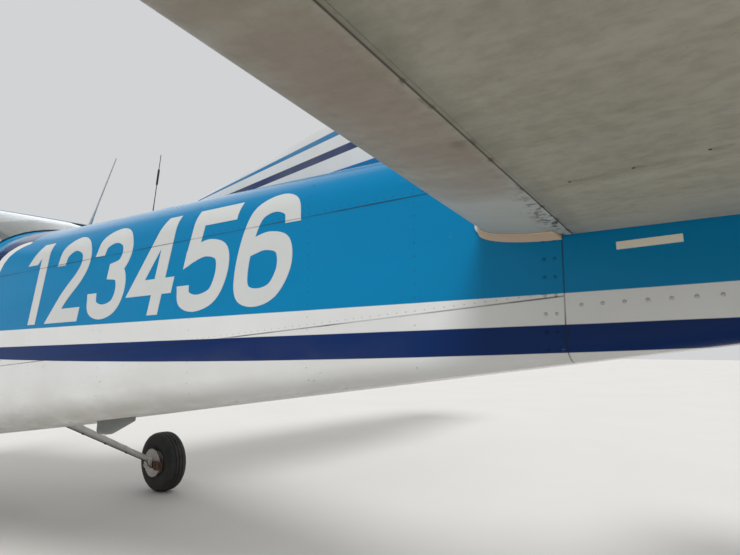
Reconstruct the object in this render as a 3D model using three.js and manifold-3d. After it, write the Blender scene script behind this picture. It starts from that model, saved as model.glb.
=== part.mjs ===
// Light aircraft: four-seat high-wing monoplane with braced wings and a fixed nose-wheel undercarriage.
// Millimetres, +X to the aircraft's left, nose towards -Y, +Z up, origin on the ground under the middle.
import * as THREE from "three";
import { mergeVertices } from "three/addons/utils/BufferGeometryUtils.js";
import Module from "manifold-3d";

const wasm = await Module();
wasm.setup();

// Driving dimensions. Stations are inches aft of the datum, which lies just ahead of the firewall.
const INCH = 25.4;
const MID_STATION = 120.5;
const at = (station) => (station - MID_STATION) * INCH;
const GAP = 0.3;
const RUNNING = 0.7;
const DOOR_GAP = 6;
const HINGE_GAP = 6;
const CORNER_STEPS = 4;
const WHEEL_SIDES = 26;

const SKIN = 4;
const CABIN_WALL = 32;
const GLASS = 6;
const FIREWALL_STATION = 8;
const CABIN_END_STATION = 108;
const CROWN_OF_CABIN = 1950;

const THRUST_LINE = 1250;
const PROPELLER_STATION = -34;
const PROPELLER_RADIUS = 952;
const SPINNER_TIP_STATION = -41;
const SPINNER_RADIUS = 165;
const BLADE_ANGLE = 24;
const BOSS = 90;
const BOSS_RADIUS = 82;

const WING = {
  rootX: 548, breakX: 2540, endX: 5290, tipX: 5450, leadStation: 24, rootChord: 1626, tipChord: 1118,
  rootHeight: 1885, dihedral: Math.tan(THREE.MathUtils.degToRad(1.73)), thickness: 0.12, camber: 0.02,
};
const AILERON = { from: 2562, to: 5060, hinge: 0.8 };
const FLAP = { from: 592, to: 2528, nose: 0.765 };
const STRUT = { station: 17, height: 800, wingX: 2600, wingStation: 38, chord: 116, thick: 46 };

const TAILPLANE = { rootX: 60, tipX: 1700, leadStation: 195.6, sweep: 0.195, hinge: 229.5, height: 1372,
  elevatorChord: 470, tipElevatorChord: 300, thick: 84, tipThick: 52 };
const FIN = { hingeLow: [233.5, 1190], hingeHigh: [257.5, 2650] };
const RUDDER_GAP = 10;

const MAIN = { station: 58.2, x: 1275, radius: 222.5, half: 78, rim: 88, axle: 19 };
const NOSE = { station: -7, radius: 180.5, half: 62, rim: 74, axle: 12, strut: 28, sleeve: 38 };

// Materials by name.
const PAINTS = {
  blue: [0x0a69a8, 0.35, 0.1], white: [0xd2d4d2, 0.4, 0.1], navy: [0x0a2450, 0.35, 0.1],
  grey: [0xa7a395, 0.6, 0.1], alloy: [0xa9abad, 0.45, 0.8], steel: [0x84868a, 0.35, 0.9],
  black: [0x1b1c1e, 0.7, 0.0], rubber: [0x1a1a1b, 0.9, 0.0], glass: [0xa9c3cf, 0.05, 0.0],
  trim: [0xcdb39a, 0.7, 0.0], seat: [0x5d6470, 0.85, 0.0], iron: [0x4c4e50, 0.6, 0.6],
};
const materials = Object.fromEntries(Object.entries(PAINTS).map(([name, [color, roughness, metalness]]) =>
  [name, new THREE.MeshStandardMaterial({ name, color, roughness, metalness })]));

const aircraft = new THREE.Group();

// Solids: building, joining and cutting.
function solid(geometry) {
  const bare = geometry.clone();
  bare.deleteAttribute("normal");
  bare.deleteAttribute("uv");
  const merged = mergeVertices(bare, 1e-3);
  const index = merged.index.array;
  const faces = [];
  for (let i = 0; i < index.length; i += 3) {
    const [a, b, c] = [index[i], index[i + 1], index[i + 2]];
    if (a !== b && b !== c && a !== c) faces.push(a, b, c);
  }
  const vertProperties = Float32Array.from(merged.attributes.position.array);
  return new wasm.Manifold(new wasm.Mesh({ numProp: 3, vertProperties, triVerts: Uint32Array.from(faces) }));
}

function geometryOf(shape) {
  const mesh = shape.getMesh();
  const geometry = new THREE.BufferGeometry();
  geometry.setAttribute("position", new THREE.BufferAttribute(Float32Array.from(mesh.vertProperties), 3));
  geometry.setIndex(new THREE.BufferAttribute(Uint32Array.from(mesh.triVerts), 1));
  geometry.computeVertexNormals();
  return geometry;
}

const mix = (a, b, share) => a + (b - a) * share;
const join = (first, ...others) => others.reduce((whole, other) => whole.add(other), first);
const cut = (first, ...others) => others.reduce((whole, other) => whole.subtract(other), first);
const common = (first, ...others) => others.reduce((whole, other) => whole.intersect(other), first);
const moved = (shape, x, y, z) => shape.translate([x, y, z]);
const mirrored = (shape) => shape.mirror([1, 0, 0]);

function add(name, shape, paint) {
  const mesh = new THREE.Mesh(geometryOf(shape), materials[paint]);
  mesh.name = name;
  aircraft.add(mesh);
}

// A left-hand piece and its mirror image on the right.
function addPair(name, shape, paint) {
  add(`${name}_left`, shape, paint);
  add(`${name}_right`, mirrored(shape), paint);
}

// Closed skin through rings of equal length, capped at both ends by a ladder of triangles.
function loft(rings) {
  const count = rings[0].length;
  const points = rings.flat();
  const faces = [];
  const capEnd = (offset, flip) => {
    let [low, high] = [0, count - 1];
    const face = (a, b, c) => (flip ? faces.push(offset + c, offset + b, offset + a)
      : faces.push(offset + a, offset + b, offset + c));
    while (high - low > 1) {
      face(low, low + 1, high);
      low += 1;
      if (high - low > 1) face(low, high - 1, high);
      high -= 1;
    }
  };
  for (let ring = 0; ring < rings.length - 1; ring += 1) {
    for (let i = 0; i < count; i += 1) {
      const a = ring * count + i;
      const b = ring * count + ((i + 1) % count);
      faces.push(a, b, b + count, a, b + count, a + count);
    }
  }
  capEnd(0, true);
  capEnd((rings.length - 1) * count, false);
  let volume = 0;
  for (let i = 0; i < faces.length; i += 3) {
    const [a, b, c] = [points[faces[i]], points[faces[i + 1]], points[faces[i + 2]]];
    volume += a.dot(new THREE.Vector3().crossVectors(b, c));
  }
  if (volume < 0) faces.reverse();
  const geometry = new THREE.BufferGeometry();
  geometry.setAttribute("position",
    new THREE.Float32BufferAttribute(points.flatMap((p) => [p.x, p.y, p.z]), 3));
  geometry.setIndex(faces);
  return solid(geometry);
}

function box(x0, x1, y0, y1, z0, z1) {
  const geometry = new THREE.BoxGeometry(x1 - x0, y1 - y0, z1 - z0);
  geometry.translate((x0 + x1) / 2, (y0 + y1) / 2, (z0 + z1) / 2);
  return solid(geometry);
}

// Round bar between two points, with its own radius at each end.
function bar(from, to, radius, endRadius = radius, sides = 16) {
  const start = new THREE.Vector3(...from);
  const along = new THREE.Vector3(...to).sub(start);
  const geometry = new THREE.CylinderGeometry(endRadius, radius, along.length(), sides);
  geometry.translate(0, along.length() / 2, 0);
  geometry.applyQuaternion(new THREE.Quaternion().setFromUnitVectors(
    new THREE.Vector3(0, 1, 0), along.clone().normalize()));
  geometry.translate(start.x, start.y, start.z);
  return solid(geometry);
}

// Solid of revolution about an axis parallel to X through (x, y, z); the profile is [radius, offset] pairs.
function turned(profile, x, y, z, segments) {
  const points = profile.map(([radius, offset]) => new THREE.Vector2(radius, offset));
  const geometry = new THREE.LatheGeometry(points, segments, Math.PI / segments);
  geometry.rotateZ(-Math.PI / 2);
  geometry.translate(x, y, z);
  const shape = solid(geometry);
  return shape.volume() < 0 ? solid(flipped(geometry)) : shape;
}

function flipped(geometry) {
  const turnedOver = geometry.clone();
  turnedOver.index.array.reverse();
  return turnedOver;
}

// Outline with rounded corners.
function outline(points, radius) {
  const shape = new THREE.Shape();
  points.forEach(([u, v], i) => {
    const corner = new THREE.Vector2(u, v);
    const before = new THREE.Vector2(...points[(i + points.length - 1) % points.length]).sub(corner);
    const after = new THREE.Vector2(...points[(i + 1) % points.length]).sub(corner);
    const reach = Math.min(radius, before.length() / 2, after.length() / 2);
    const start = corner.clone().addScaledVector(before.normalize(), reach);
    const end = corner.clone().addScaledVector(after.normalize(), reach);
    if (i === 0) shape.moveTo(start.x, start.y);
    else shape.lineTo(start.x, start.y);
    if (radius > 0) shape.quadraticCurveTo(corner.x, corner.y, end.x, end.y);
  });
  shape.closePath();
  return shape;
}

// Side-view outline of [station, height] corners, carried across from x0 to x1.
function across(corners, x0, x1, radius = 0) {
  const shape = outline(corners.map(([station, height]) => [at(station), height]), radius);
  const geometry = new THREE.ExtrudeGeometry(shape, { depth: x1 - x0, bevelEnabled: false, curveSegments: 3 });
  geometry.applyMatrix4(new THREE.Matrix4().makeBasis(
    new THREE.Vector3(0, 1, 0), new THREE.Vector3(0, 0, 1), new THREE.Vector3(1, 0, 0)));
  geometry.translate(x0, 0, 0);
  return solid(geometry);
}

// Plan-view outline of [x, y] corners, carried up from z0 to z1.
function upright(corners, z0, z1, radius = 0) {
  const geometry = new THREE.ExtrudeGeometry(outline(corners, radius),
    { depth: z1 - z0, bevelEnabled: false, curveSegments: 3 });
  geometry.translate(0, 0, z0);
  return solid(geometry);
}

// Side-view outline moved inwards by a distance in mm; the corners run anticlockwise or clockwise.
function inset(corners, distance) {
  const points = corners.map(([station, height]) => new THREE.Vector2(at(station), height));
  const turn = Math.sign(THREE.ShapeUtils.area(points));
  return points.map((point, i) => {
    const before = point.clone().sub(points[(i + points.length - 1) % points.length]).normalize();
    const after = points[(i + 1) % points.length].clone().sub(point).normalize();
    const normal = new THREE.Vector2(-before.y - after.y, before.x + after.x).multiplyScalar(turn);
    const lean = 1 + before.dot(after);
    const shifted = point.clone().addScaledVector(normal, distance / lean);
    return [shifted.x / INCH + MID_STATION, shifted.y];
  });
}

// Fuselage frames: station, half width, belly, crown, lower corner radius, and the crown arch's reach and drop.
const CABIN_FRAMES = [
  [8, 490, 690, 1562, 120, 230, 150],
  [13, 506, 650, 1590, 115, 260, 170],
  [20, 524, 605, 1757, 110, 260, 190],
  [28, 530, 590, 1950, 100, 190, 150],
  [66, 530, 590, 1950, 100, 210, 160],
  [88, 462, 664, 1818, 105, 330, 200],
  [98, 432, 702, 1755, 105, 370, 205],
  [108, 402, 740, 1662, 105, 380, 205],
];
const TAIL_FRAMES = [
  CABIN_FRAMES.at(-1),
  [124, 354, 795, 1640, 100, 335, 185],
  [150, 277, 886, 1632, 90, 262, 160],
  [203, 119, 1068, 1606, 50, 113, 105],
  [230, 74, 1160, 1596, 30, 70, 75],
];
const COWL_FRAMES = [
  [-31, 250, 985, 1400, 150, 150, 150],
  [-29.6, 330, 915, 1440, 170, 190, 160],
  [-25, 385, 850, 1468, 170, 230, 170],
  [-10, 440, 755, 1510, 150, 230, 165],
  CABIN_FRAMES[0],
];

function frameRing([station, half, belly, crown, lowCorner, reach, drop], inward) {
  const ring = [];
  const corners = [[1, 1], [1, -1], [-1, -1], [-1, 1]];
  corners.forEach(([sideways, upward], quarter) => {
    const wide = Math.max((upward > 0 ? reach : lowCorner) - inward, 4);
    const deep = Math.max((upward > 0 ? drop : lowCorner) - inward, 4);
    const middleX = sideways * (half - inward - wide);
    const middleZ = upward > 0 ? crown - inward - deep : belly + inward + deep;
    for (let step = 0; step <= CORNER_STEPS; step += 1) {
      const angle = Math.PI / 2 - (quarter + step / CORNER_STEPS) * (Math.PI / 2);
      ring.push(new THREE.Vector3(middleX + wide * Math.cos(angle), at(station),
        middleZ + deep * Math.sin(angle)));
    }
  });
  return ring;
}

const body = (frames, inward = 0) => loft(frames.map((frame) => frameRing(frame, inward)));

function between(frames, station) {
  const next = frames.findIndex((frame) => frame[0] >= station);
  const upper = Math.max(next, 1);
  const [a, b] = [frames[upper - 1], frames[upper]];
  const share = (station - a[0]) / (b[0] - a[0]);
  return a.map((value, i) => value + (b[i] - value) * share);
}

// The same frames cut to a shorter run of stations.
function run(frames, from, to) {
  const kept = frames.filter(([station]) => station > from && station < to);
  return [between(frames, from), ...kept, between(frames, to)];
}

// Side-view outlines, [station, height].
const WINDSHIELD = [[8.4, 1580], [17, 1580], [30.4, 1942], [30.4, 2000], [8.4, 2000]];
const DOOR = [[20.5, 800], [56.5, 800], [56.5, 1793], [28.5, 1793], [20.5, 1530]];
const DOOR_WINDOW = [[24, 1462], [53, 1462], [53, 1749], [30.5, 1749], [24, 1530]];
const SIDE_WINDOW = [[60.5, 1470], [84, 1470], [84, 1550], [72.8, 1749], [60.5, 1749]];
const REAR_WINDOW = [[71, 2050], [71, 1890], [89, 1600], [106.4, 1535], [106.4, 2050]];
const BAGGAGE_DOOR = [[89, 960], [104, 960], [104, 1380], [89, 1380]];

const cabinSolid = body(CABIN_FRAMES);
const REACH = 900;

function cabinShell() {
  const hollow = body(run(CABIN_FRAMES, FIREWALL_STATION + 1, CABIN_END_STATION - 0.6), CABIN_WALL);
  return cut(cabinSolid, hollow);
}

function pane(corners, x0, x1, radius) {
  const glass = cut(body(CABIN_FRAMES, 2), body(CABIN_FRAMES, 2 + GLASS));
  return common(glass, across(inset(corners, GAP), x0, x1, radius));
}

const shell = cabinShell();
const doorPanel = cut(
  common(shell, across(inset(DOOR, DOOR_GAP), 0, REACH, 60)),
  across(DOOR_WINDOW, 0, REACH, 50),
);
const baggageDoor = common(shell, across(inset(BAGGAGE_DOOR, DOOR_GAP), 0, REACH, 30));

// Butt hinge with an upright pin: the door's knuckle turns between two fixed ones.
const KNUCKLE = { radius: 7, half: 30, fixed: 24, leaf: 22 };
function buttHinge(x, y, height) {
  const barrel = (low, high) => bar([x, y, low], [x, y, high], KNUCKLE.radius, KNUCKLE.radius, 12);
  const leaf = (low, high, back, front) => box(x - 20, x + 3, y - back, y + front, low, high);
  const [low, high] = [height - KNUCKLE.half, height + KNUCKLE.half];
  return {
    moving: join(barrel(low, high), leaf(low, high, 0, KNUCKLE.leaf)),
    fixed: join(barrel(low - KNUCKLE.fixed, low - GAP), leaf(low - KNUCKLE.fixed, low - GAP, KNUCKLE.leaf, 0),
      barrel(high + GAP, high + KNUCKLE.fixed), leaf(high + GAP, high + KNUCKLE.fixed, KNUCKLE.leaf, 0)),
  };
}
const DOOR_PIN = { x: 532, y: at(20.5) + 4.6, heights: [930, 1330] };
const BAGGAGE_PIN = { x: 467, y: at(89) + 4, heights: [1040, 1300] };
const doorHinges = DOOR_PIN.heights.map((height) => buttHinge(DOOR_PIN.x, DOOR_PIN.y, height));
const baggageHinges = BAGGAGE_PIN.heights.map((height) => buttHinge(BAGGAGE_PIN.x, BAGGAGE_PIN.y, height));
const moving = (hinges) => hinges.map((hinge) => hinge.moving);
const fixed = (hinges) => hinges.map((hinge) => hinge.fixed);

const openSides = [-REACH, 0].map((x) => join(
  across(DOOR, x, x + REACH, 60),
  across(SIDE_WINDOW, x, x + REACH, 45),
));
const bareCabin = cut(shell, ...openSides, across(WINDSHIELD, -REACH, REACH, 0),
  across(REAR_WINDOW, -REACH, REACH, 30), across(BAGGAGE_DOOR, 0, REACH, 30));
const cabin = join(bareCabin, ...fixed(doorHinges), ...fixed(doorHinges).map(mirrored), ...fixed(baggageHinges));

// The cabin shell parts at the window sill line into a lower tub and an upper frame.
const SILL = 1420;
const FLOOR = 622;
const FLOOR_PANEL = { from: at(50) - 9, to: at(58) - 43, half: 430, thick: 4 };
const floorPanel = box(-FLOOR_PANEL.half, FLOOR_PANEL.half, FLOOR_PANEL.from, FLOOR_PANEL.to, FLOOR - FLOOR_PANEL.thick,
  FLOOR + FLOOR_PANEL.thick);
const lowerHalf = box(-REACH, REACH, at(7), at(109), 0, SILL);
const upperHalf = box(-REACH, REACH, at(7), at(109), SILL + GAP, 3000);
add("cabin_tub", join(common(cabin, lowerHalf), floorPanel), "white");
add("cabin_frame", common(cabin, upperHalf), "white");
add("windshield", pane(WINDSHIELD, -REACH, REACH, 0), "glass");
add("rear_window", pane(REAR_WINDOW, -REACH, REACH, 30), "glass");
addPair("side_window", pane(SIDE_WINDOW, 0, REACH, 45), "glass");
addPair("cabin_door", join(doorPanel, ...moving(doorHinges)), "white");
addPair("door_window", pane(DOOR_WINDOW, 0, REACH, 50), "glass");
add("baggage_door", join(baggageDoor, ...moving(baggageHinges)), "blue");

// Tail cone: a hollow shell that opens forwards.
const tailSolid = body(TAIL_FRAMES);
const tailHollow = body(run(TAIL_FRAMES, 108, 229), SKIN);
const tailMouth = body([[107, ...TAIL_FRAMES[0].slice(1)], TAIL_FRAMES[0]], SKIN);
const tubeHole = bar([-200, at(TAILPLANE.hinge), TAILPLANE.height], [200, at(TAILPLANE.hinge), TAILPLANE.height], 23);
const tailcone = moved(cut(tailSolid, tailHollow, tailMouth, tubeHole), 0, GAP, 0);
add("tailcone", tailcone, "blue");

// Engine cowling in two halves, with two inlets, an outlet and a slot for the nose leg.
const cowlSolid = body(COWL_FRAMES);
const cowlHollow = body(run(COWL_FRAMES, -30.8, 8), SKIN);
const cowlMouth = body([COWL_FRAMES[4], [9, ...COWL_FRAMES[4].slice(1)]], SKIN);
const inlet = (side) => across([[-36, 1190], [-28, 1190], [-28, 1330], [-36, 1330]], side * 200 - 85,
  side * 200 + 85, 0);
const shaftHole = bar([0, at(-36), THRUST_LINE], [0, at(-28), THRUST_LINE], 90);
const legSlot = box(-75, 75, at(-6), at(3.6), 600, 900);
const outlet = box(-230, 230, at(1.5), at(9), 600, 780);
const cowl = moved(cut(cowlSolid, cowlHollow, cowlMouth, inlet(1), inlet(-1), shaftHole, legSlot, outlet),
  0, -GAP, 0);
const COWL_SPLIT = THRUST_LINE;
add("cowl_upper", common(cowl, box(-REACH, REACH, at(-40), at(8), COWL_SPLIT + GAP, 2000)), "white");
add("cowl_lower", common(cowl, box(-REACH, REACH, at(-40), at(8), 0, COWL_SPLIT)), "white");

// Engine: crankcase, four cylinders and the rear case as one block on the firewall.
const ENGINE_FLOOR = 1040;
const crankcase = box(-170, 170, at(-27), at(FIREWALL_STATION) - GAP, ENGINE_FLOOR, 1405);
const cylinders = box(-368, 368, at(-25), at(-3), 1130, 1340);
const shaft = bar([0, at(-28), THRUST_LINE], [0, at(PROPELLER_STATION) + BOSS / 2 + GAP, THRUST_LINE], 55);
const crank = box(-60, 60, at(-29), at(-26), THRUST_LINE - 60, THRUST_LINE + 60);
add("engine_block", join(crankcase, cylinders, crank, shaft), "iron");
const tailpipe = join(bar([-150, at(4.8), 740], [-160, at(6), 640], 34),
  bar([-150, at(4.8), 740], [-110, at(-2), ENGINE_FLOOR + 20], 34));
add("exhaust_pipe", cut(tailpipe, box(-240, 0, at(-8), at(8), ENGINE_FLOOR - GAP, 1300)), "steel");

// Wing section on a unit chord: [along, up] from the upper trailing edge round the nose to the lower one.
const FOIL_STEPS = 9;
function foil(thickness, camber) {
  const half = (u) => 5 * thickness * (0.2969 * Math.sqrt(u) - 0.126 * u - 0.3516 * u ** 2
    + 0.2843 * u ** 3 - 0.1015 * u ** 4);
  const mean = (u) => (u < 0.4 ? camber / 0.16 * (0.8 * u - u * u)
    : camber / 0.36 * (0.2 + 0.8 * u - u * u));
  const upper = [];
  const lower = [];
  for (let i = 0; i <= FOIL_STEPS; i += 1) {
    const u = (1 + Math.cos(Math.PI * i / FOIL_STEPS)) / 2;
    upper.push([u, mean(u) + half(u)]);
    if (i < FOIL_STEPS) lower.unshift([u, mean(u) - half(u)]);
  }
  return [...upper, ...lower];
}

// Wing stations: x, nose station, chord, distance out for the dihedral, incidence in degrees, thickness.
const WING_SECTIONS = [
  [WING.rootX, WING.leadStation, WING.rootChord, 0, 1.5, WING.thickness],
  [WING.breakX, WING.leadStation, WING.rootChord, WING.breakX - WING.rootX, 1.5, WING.thickness],
  [WING.endX, WING.leadStation + 7, WING.tipChord, WING.endX - WING.rootX, -1.5, WING.thickness],
  [5400, WING.leadStation + 9.5, 980, WING.endX - WING.rootX, -1.5, 0.1],
  [WING.tipX, WING.leadStation + 16, 640, 4600, -1.5, 0.06],
];

function wingPoint([x, lead, chord, out, incidence], along, up) {
  const angle = THREE.MathUtils.degToRad(incidence);
  return new THREE.Vector3(x,
    at(lead) + chord * (along * Math.cos(angle) + up * Math.sin(angle)),
    WING.rootHeight + out * WING.dihedral + chord * (up * Math.cos(angle) - along * Math.sin(angle)));
}

const wingRing = (section) => foil(section[5], WING.camber).map(([u, v]) => wingPoint(section, u, v));
const wingSolid = loft(WING_SECTIONS.map(wingRing));
const wingAt = (x, along, up) => {
  const next = Math.max(1, WING_SECTIONS.findIndex((section) => section[0] >= x));
  const [a, b] = [WING_SECTIONS[next - 1], WING_SECTIONS[next]];
  const share = (x - a[0]) / (b[0] - a[0]);
  return wingPoint(a, along, up).lerp(wingPoint(b, along, up), share);
};

const NOSE_SIDES = 28;
// Control surface with a round nose about its hinge line, and the bay that follows it. At each hinge a
// block in the bay reaches back to the nose and carries it.
function hingedSurface(whole, lowEnd, highEnd, radii, aftCorners, margin, gap, hinges, blockSize) {
  const span = highEnd.clone().sub(lowEnd);
  const nose = (grow, reach) => {
    const share = reach / span.length();
    const [start, end] = [-share, 1 + share].map((t) => lowEnd.clone().addScaledVector(span, t).toArray());
    const [low, high] = [-share, 1 + share].map((t) => mix(radii[0], radii[1], t) + grow);
    return bar(start, end, low, high, NOSE_SIDES);
  };
  const cornerRoom = radii[0] * (1 / Math.cos(Math.PI / NOSE_SIDES) - 1);
  let bay = join(aftCorners(gap), nose(gap, margin));
  for (const share of hinges) {
    const centre = lowEnd.clone().lerp(highEnd, share);
    const block = new THREE.BoxGeometry(...blockSize);
    block.translate(centre.x, centre.y - blockSize[1] / 2, centre.z);
    const place = solid(block);
    bay = join(cut(bay, place), common(place, nose(GAP + cornerRoom, margin)));
  }
  return { surface: common(whole, join(aftCorners(0), nose(0, 0))), bay };
}

const HINGE_HALF = 0.0262 * 0.96;
const HINGE_RISE = 0.0111;
const aileronEnds = [AILERON.from, AILERON.to].map((x) => wingAt(x, AILERON.hinge, HINGE_RISE));
const chordAt = (x) => WING.rootChord + (WING.tipChord - WING.rootChord)
  * Math.max(0, (x - WING.breakX) / (WING.endX - WING.breakX));
const behindAileron = (gap) => upright([
  [AILERON.from - 2 * gap, aileronEnds[0].y], [AILERON.to + 2 * gap, aileronEnds[1].y],
  [AILERON.to + 2 * gap, at(120)], [AILERON.from - 2 * gap, at(120)]], 1500, 2600);
const aileron = hingedSurface(wingSolid, ...aileronEnds,
  [chordAt(AILERON.from) * HINGE_HALF, chordAt(AILERON.to) * HINGE_HALF], behindAileron, 2 * HINGE_GAP, HINGE_GAP,
  [0.12, 0.5, 0.88], [40, 80, 30]);

const flapNose = [FLAP.from, FLAP.to].map((x) => wingAt(x, FLAP.nose, 0));
const behindFlap = (gap) => upright([
  [FLAP.from - gap, flapNose[0].y - gap], [FLAP.to + gap, flapNose[1].y - gap],
  [FLAP.to + gap, at(120)], [FLAP.from - gap, at(120)]], 1500, 2600);
const flap = common(wingSolid, behindFlap(0));

const trackRoots = [0.15, 0.5, 0.85].map((share) => {
  const root = flapNose[0].clone().lerp(flapNose[1], share);
  return common(wingSolid, box(root.x - 25, root.x + 25, root.y - 40, root.y - GAP, root.z - 20, root.z + 40));
});
addPair("wing", join(cut(wingSolid, aileron.bay, behindFlap(8)), ...trackRoots), "white");
addPair("aileron", aileron.surface, "white");
addPair("flap", flap, "white");

// Roof between the wings, with the same section, sloping down to the windshield and to the rear window.
const roofSections = [-1, 1].map((side) => [side * (WING.rootX - GAP - 1), ...WING_SECTIONS[0].slice(1)]);
add("cabin_roof", common(loft(roofSections.map(wingRing)), across(
  [[28.4, CROWN_OF_CABIN + GAP], [65, CROWN_OF_CABIN + GAP], [65, 1958], [50, 2160], [36, 2160]], -REACH, REACH)),
"white");

// Wing struts: streamlined tubes from the lower door post to the wing.
function strut() {
  const ring = (x, y, z) => Array.from({ length: 14 }, (_, i) => {
    const angle = (i / 14) * 2 * Math.PI;
    return new THREE.Vector3(x, y + STRUT.chord / 2 * Math.cos(angle), z + STRUT.thick / 2 * Math.sin(angle));
  });
  const top = wingAt(STRUT.wingX, (STRUT.wingStation - WING.leadStation) * INCH / WING.rootChord, 0);
  const whole = loft([ring(490, at(STRUT.station), STRUT.height - 18), ring(STRUT.wingX, top.y, top.z)]);
  return cut(whole, wingSolid, moved(wingSolid, 0, 0, -GAP), cabinSolid, moved(cabinSolid, GAP, 0, 0));
}
addPair("wing_strut", strut(), "white");

// Tailplane: fixed surface with a thin hollow skin, and the elevator behind it.
const tailLead = (x) => at(TAILPLANE.leadStation) + x * TAILPLANE.sweep;
const tailSpan = TAILPLANE.tipX - TAILPLANE.rootX;
const tailShare = (x) => (x - TAILPLANE.rootX) / tailSpan;
function tailRing(x, inward = 0, shrink = 1) {
  const lead = tailLead(x) + inward;
  const hinge = at(TAILPLANE.hinge);
  const trail = hinge + mix(TAILPLANE.elevatorChord, TAILPLANE.tipElevatorChord, tailShare(x)) - inward;
  const half = (mix(TAILPLANE.thick, TAILPLANE.tipThick, tailShare(x)) / 2 - inward) * shrink;
  const noseBack = mix(190, 130, tailShare(x));
  const halfAt = [[0, 0.16], [0.07, 0.55], [0.4, 0.88], [1, 1]];
  const upper = halfAt.map(([share, size]) => [lead + noseBack * share, half * size]);
  const profile = [...upper, [hinge, half * 0.92], [trail, 3]];
  return [...profile.map(([y, z]) => [y, z]), ...profile.reverse().map(([y, z]) => [y, -z])]
    .map(([y, z]) => new THREE.Vector3(x, y, TAILPLANE.height + z));
}
const tailplaneSolid = loft([tailRing(TAILPLANE.rootX), tailRing(TAILPLANE.tipX - 60),
  tailRing(TAILPLANE.tipX, 30, 0.6)]);
const hingeY = at(TAILPLANE.hinge);
const ELEVATOR = { from: 120, to: TAILPLANE.tipX - 2 };
const TORQUE_TUBE = 16;
const elevatorEnds = [ELEVATOR.from, ELEVATOR.to - 150].map((x) => new THREE.Vector3(x, hingeY, TAILPLANE.height));
const elevatorRadii = [ELEVATOR.from, ELEVATOR.to].map((x) =>
  mix(TAILPLANE.thick, TAILPLANE.tipThick, tailShare(x)) / 2 * 0.88);
const behindElevator = (gap) => upright([[ELEVATOR.from - gap, hingeY], [ELEVATOR.to + 40, hingeY],
  [ELEVATOR.to + 40, at(262)], [ELEVATOR.from + 130 - gap, at(262)], [ELEVATOR.from - gap, at(236)]], 1000, 1800);
const hornX = ELEVATOR.to - 150;
const horn = (gap) => box(hornX - gap, ELEVATOR.to + 40, hingeY - 210 - gap, hingeY + 1, 1000, 1800);
const elevatorParts = hingedSurface(tailplaneSolid, ...elevatorEnds, elevatorRadii,
  (gap) => join(behindElevator(gap), horn(gap)), HINGE_GAP, HINGE_GAP, [0.2, 0.8], [40, 80, 26]);
const tailplaneInner = loft([tailRing(40, SKIN), tailRing(TAILPLANE.tipX - 90, SKIN)]);
const wallAhead = box(0, 2000, at(190), hingeY - 60, 1000, 1800);
const ELEVATOR_HEEL = ELEVATOR.from - HINGE_GAP;
const rudderPath = upright([[-300, hingeY - 1], [ELEVATOR_HEEL, hingeY - 1], [ELEVATOR_HEEL, at(236)],
  [ELEVATOR_HEEL + 130, at(262)], [-300, at(262)]], 1000, 1800);
const tailSideCut = join(tailSolid, moved(tailSolid, GAP * 2, 0, 0));
const stabilizer = cut(tailplaneSolid, elevatorParts.bay, common(tailplaneInner, wallAhead), rudderPath, tailSideCut, tubeHole);
addPair("stabilizer", stabilizer, "grey");

// The right elevator carries the trim tab.
const TAB = { from: 260, to: 900, nose: at(241), radii: [8.4, 13] };
const behindTab = (gap) => box(-TAB.to - gap, -TAB.from + gap, TAB.nose, at(262), 1000, 1800);
const elevator = elevatorParts.surface;
const tabEnds = [-TAB.to, -TAB.from].map((x) => new THREE.Vector3(x, TAB.nose, TAILPLANE.height));
const tabParts = hingedSurface(mirrored(elevator), ...tabEnds, TAB.radii, behindTab, HINGE_GAP, HINGE_GAP,
  [0.15, 0.85], [40, 40, 8]);
const torqueTube = bar([-ELEVATOR.from + GAP, hingeY, TAILPLANE.height],
  [ELEVATOR.from + 5, hingeY, TAILPLANE.height], TORQUE_TUBE);
add("elevator_left", join(elevator, torqueTube), "grey");
add("elevator_right", cut(mirrored(elevator), tabParts.bay), "grey");
add("trim_tab", tabParts.surface, "grey");

// Seal blocks that close the gap between the tailplane's nose and the tail cone.
const sealBlock = cut(loft([tailRing(100, -9), tailRing(172, -9)]), tailplaneSolid, moved(tailplaneSolid, 0, 0, -GAP),
  moved(tailplaneSolid, 0, -GAP, 0), tailSideCut, box(0, 400, at(203.4), at(262), 1000, 1800));
addPair("root_fairing", sealBlock, "trim");

// Fin with its long dorsal fillet, and the rudder.
const finHingeStation = (height) => {
  const [[lowStation, low], [highStation, high]] = [FIN.hingeLow, FIN.hingeHigh];
  return mix(lowStation, highStation, (height - low) / (high - low));
};
const finHinge = (height) => at(finHingeStation(height));
const FIN_TOP = 2618;
// Fin levels: height, nose station, tail station, thickness.
const FIN_LEVELS = [
  [1560, 198, 252.5, 92],
  [1900, 206.5, 261.5, 84],
  [2560, 231, 280.6, 58],
  [FIN_TOP, 239.5, 278, 30],
];
function finRing([height, nose, tail, thick]) {
  const [lead, trail] = [at(nose), at(tail)];
  const hinge = finHinge(height);
  const profile = [[lead, 4], [lead + 30, thick * 0.3], [mix(lead, hinge, 0.45), thick * 0.5], [hinge, thick * 0.42],
    [trail, 3]];
  return [...profile, ...profile.slice().reverse().map(([y, x]) => [y, -x])]
    .map(([y, x]) => new THREE.Vector3(x, y, height));
}
const RUDDER_FOOT = [[1185, 228, 250.5, 90], ...FIN_LEVELS];
const verticalTail = loft(RUDDER_FOOT.map(finRing));
const RUDDER = { foot: 1196, hornHeight: 2514, hornStation: 244, hornGap: 5 };
const rudderEnds = [RUDDER.foot, RUDDER.hornHeight - 10].map((height) =>
  new THREE.Vector3(0, finHinge(height), height));
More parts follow.
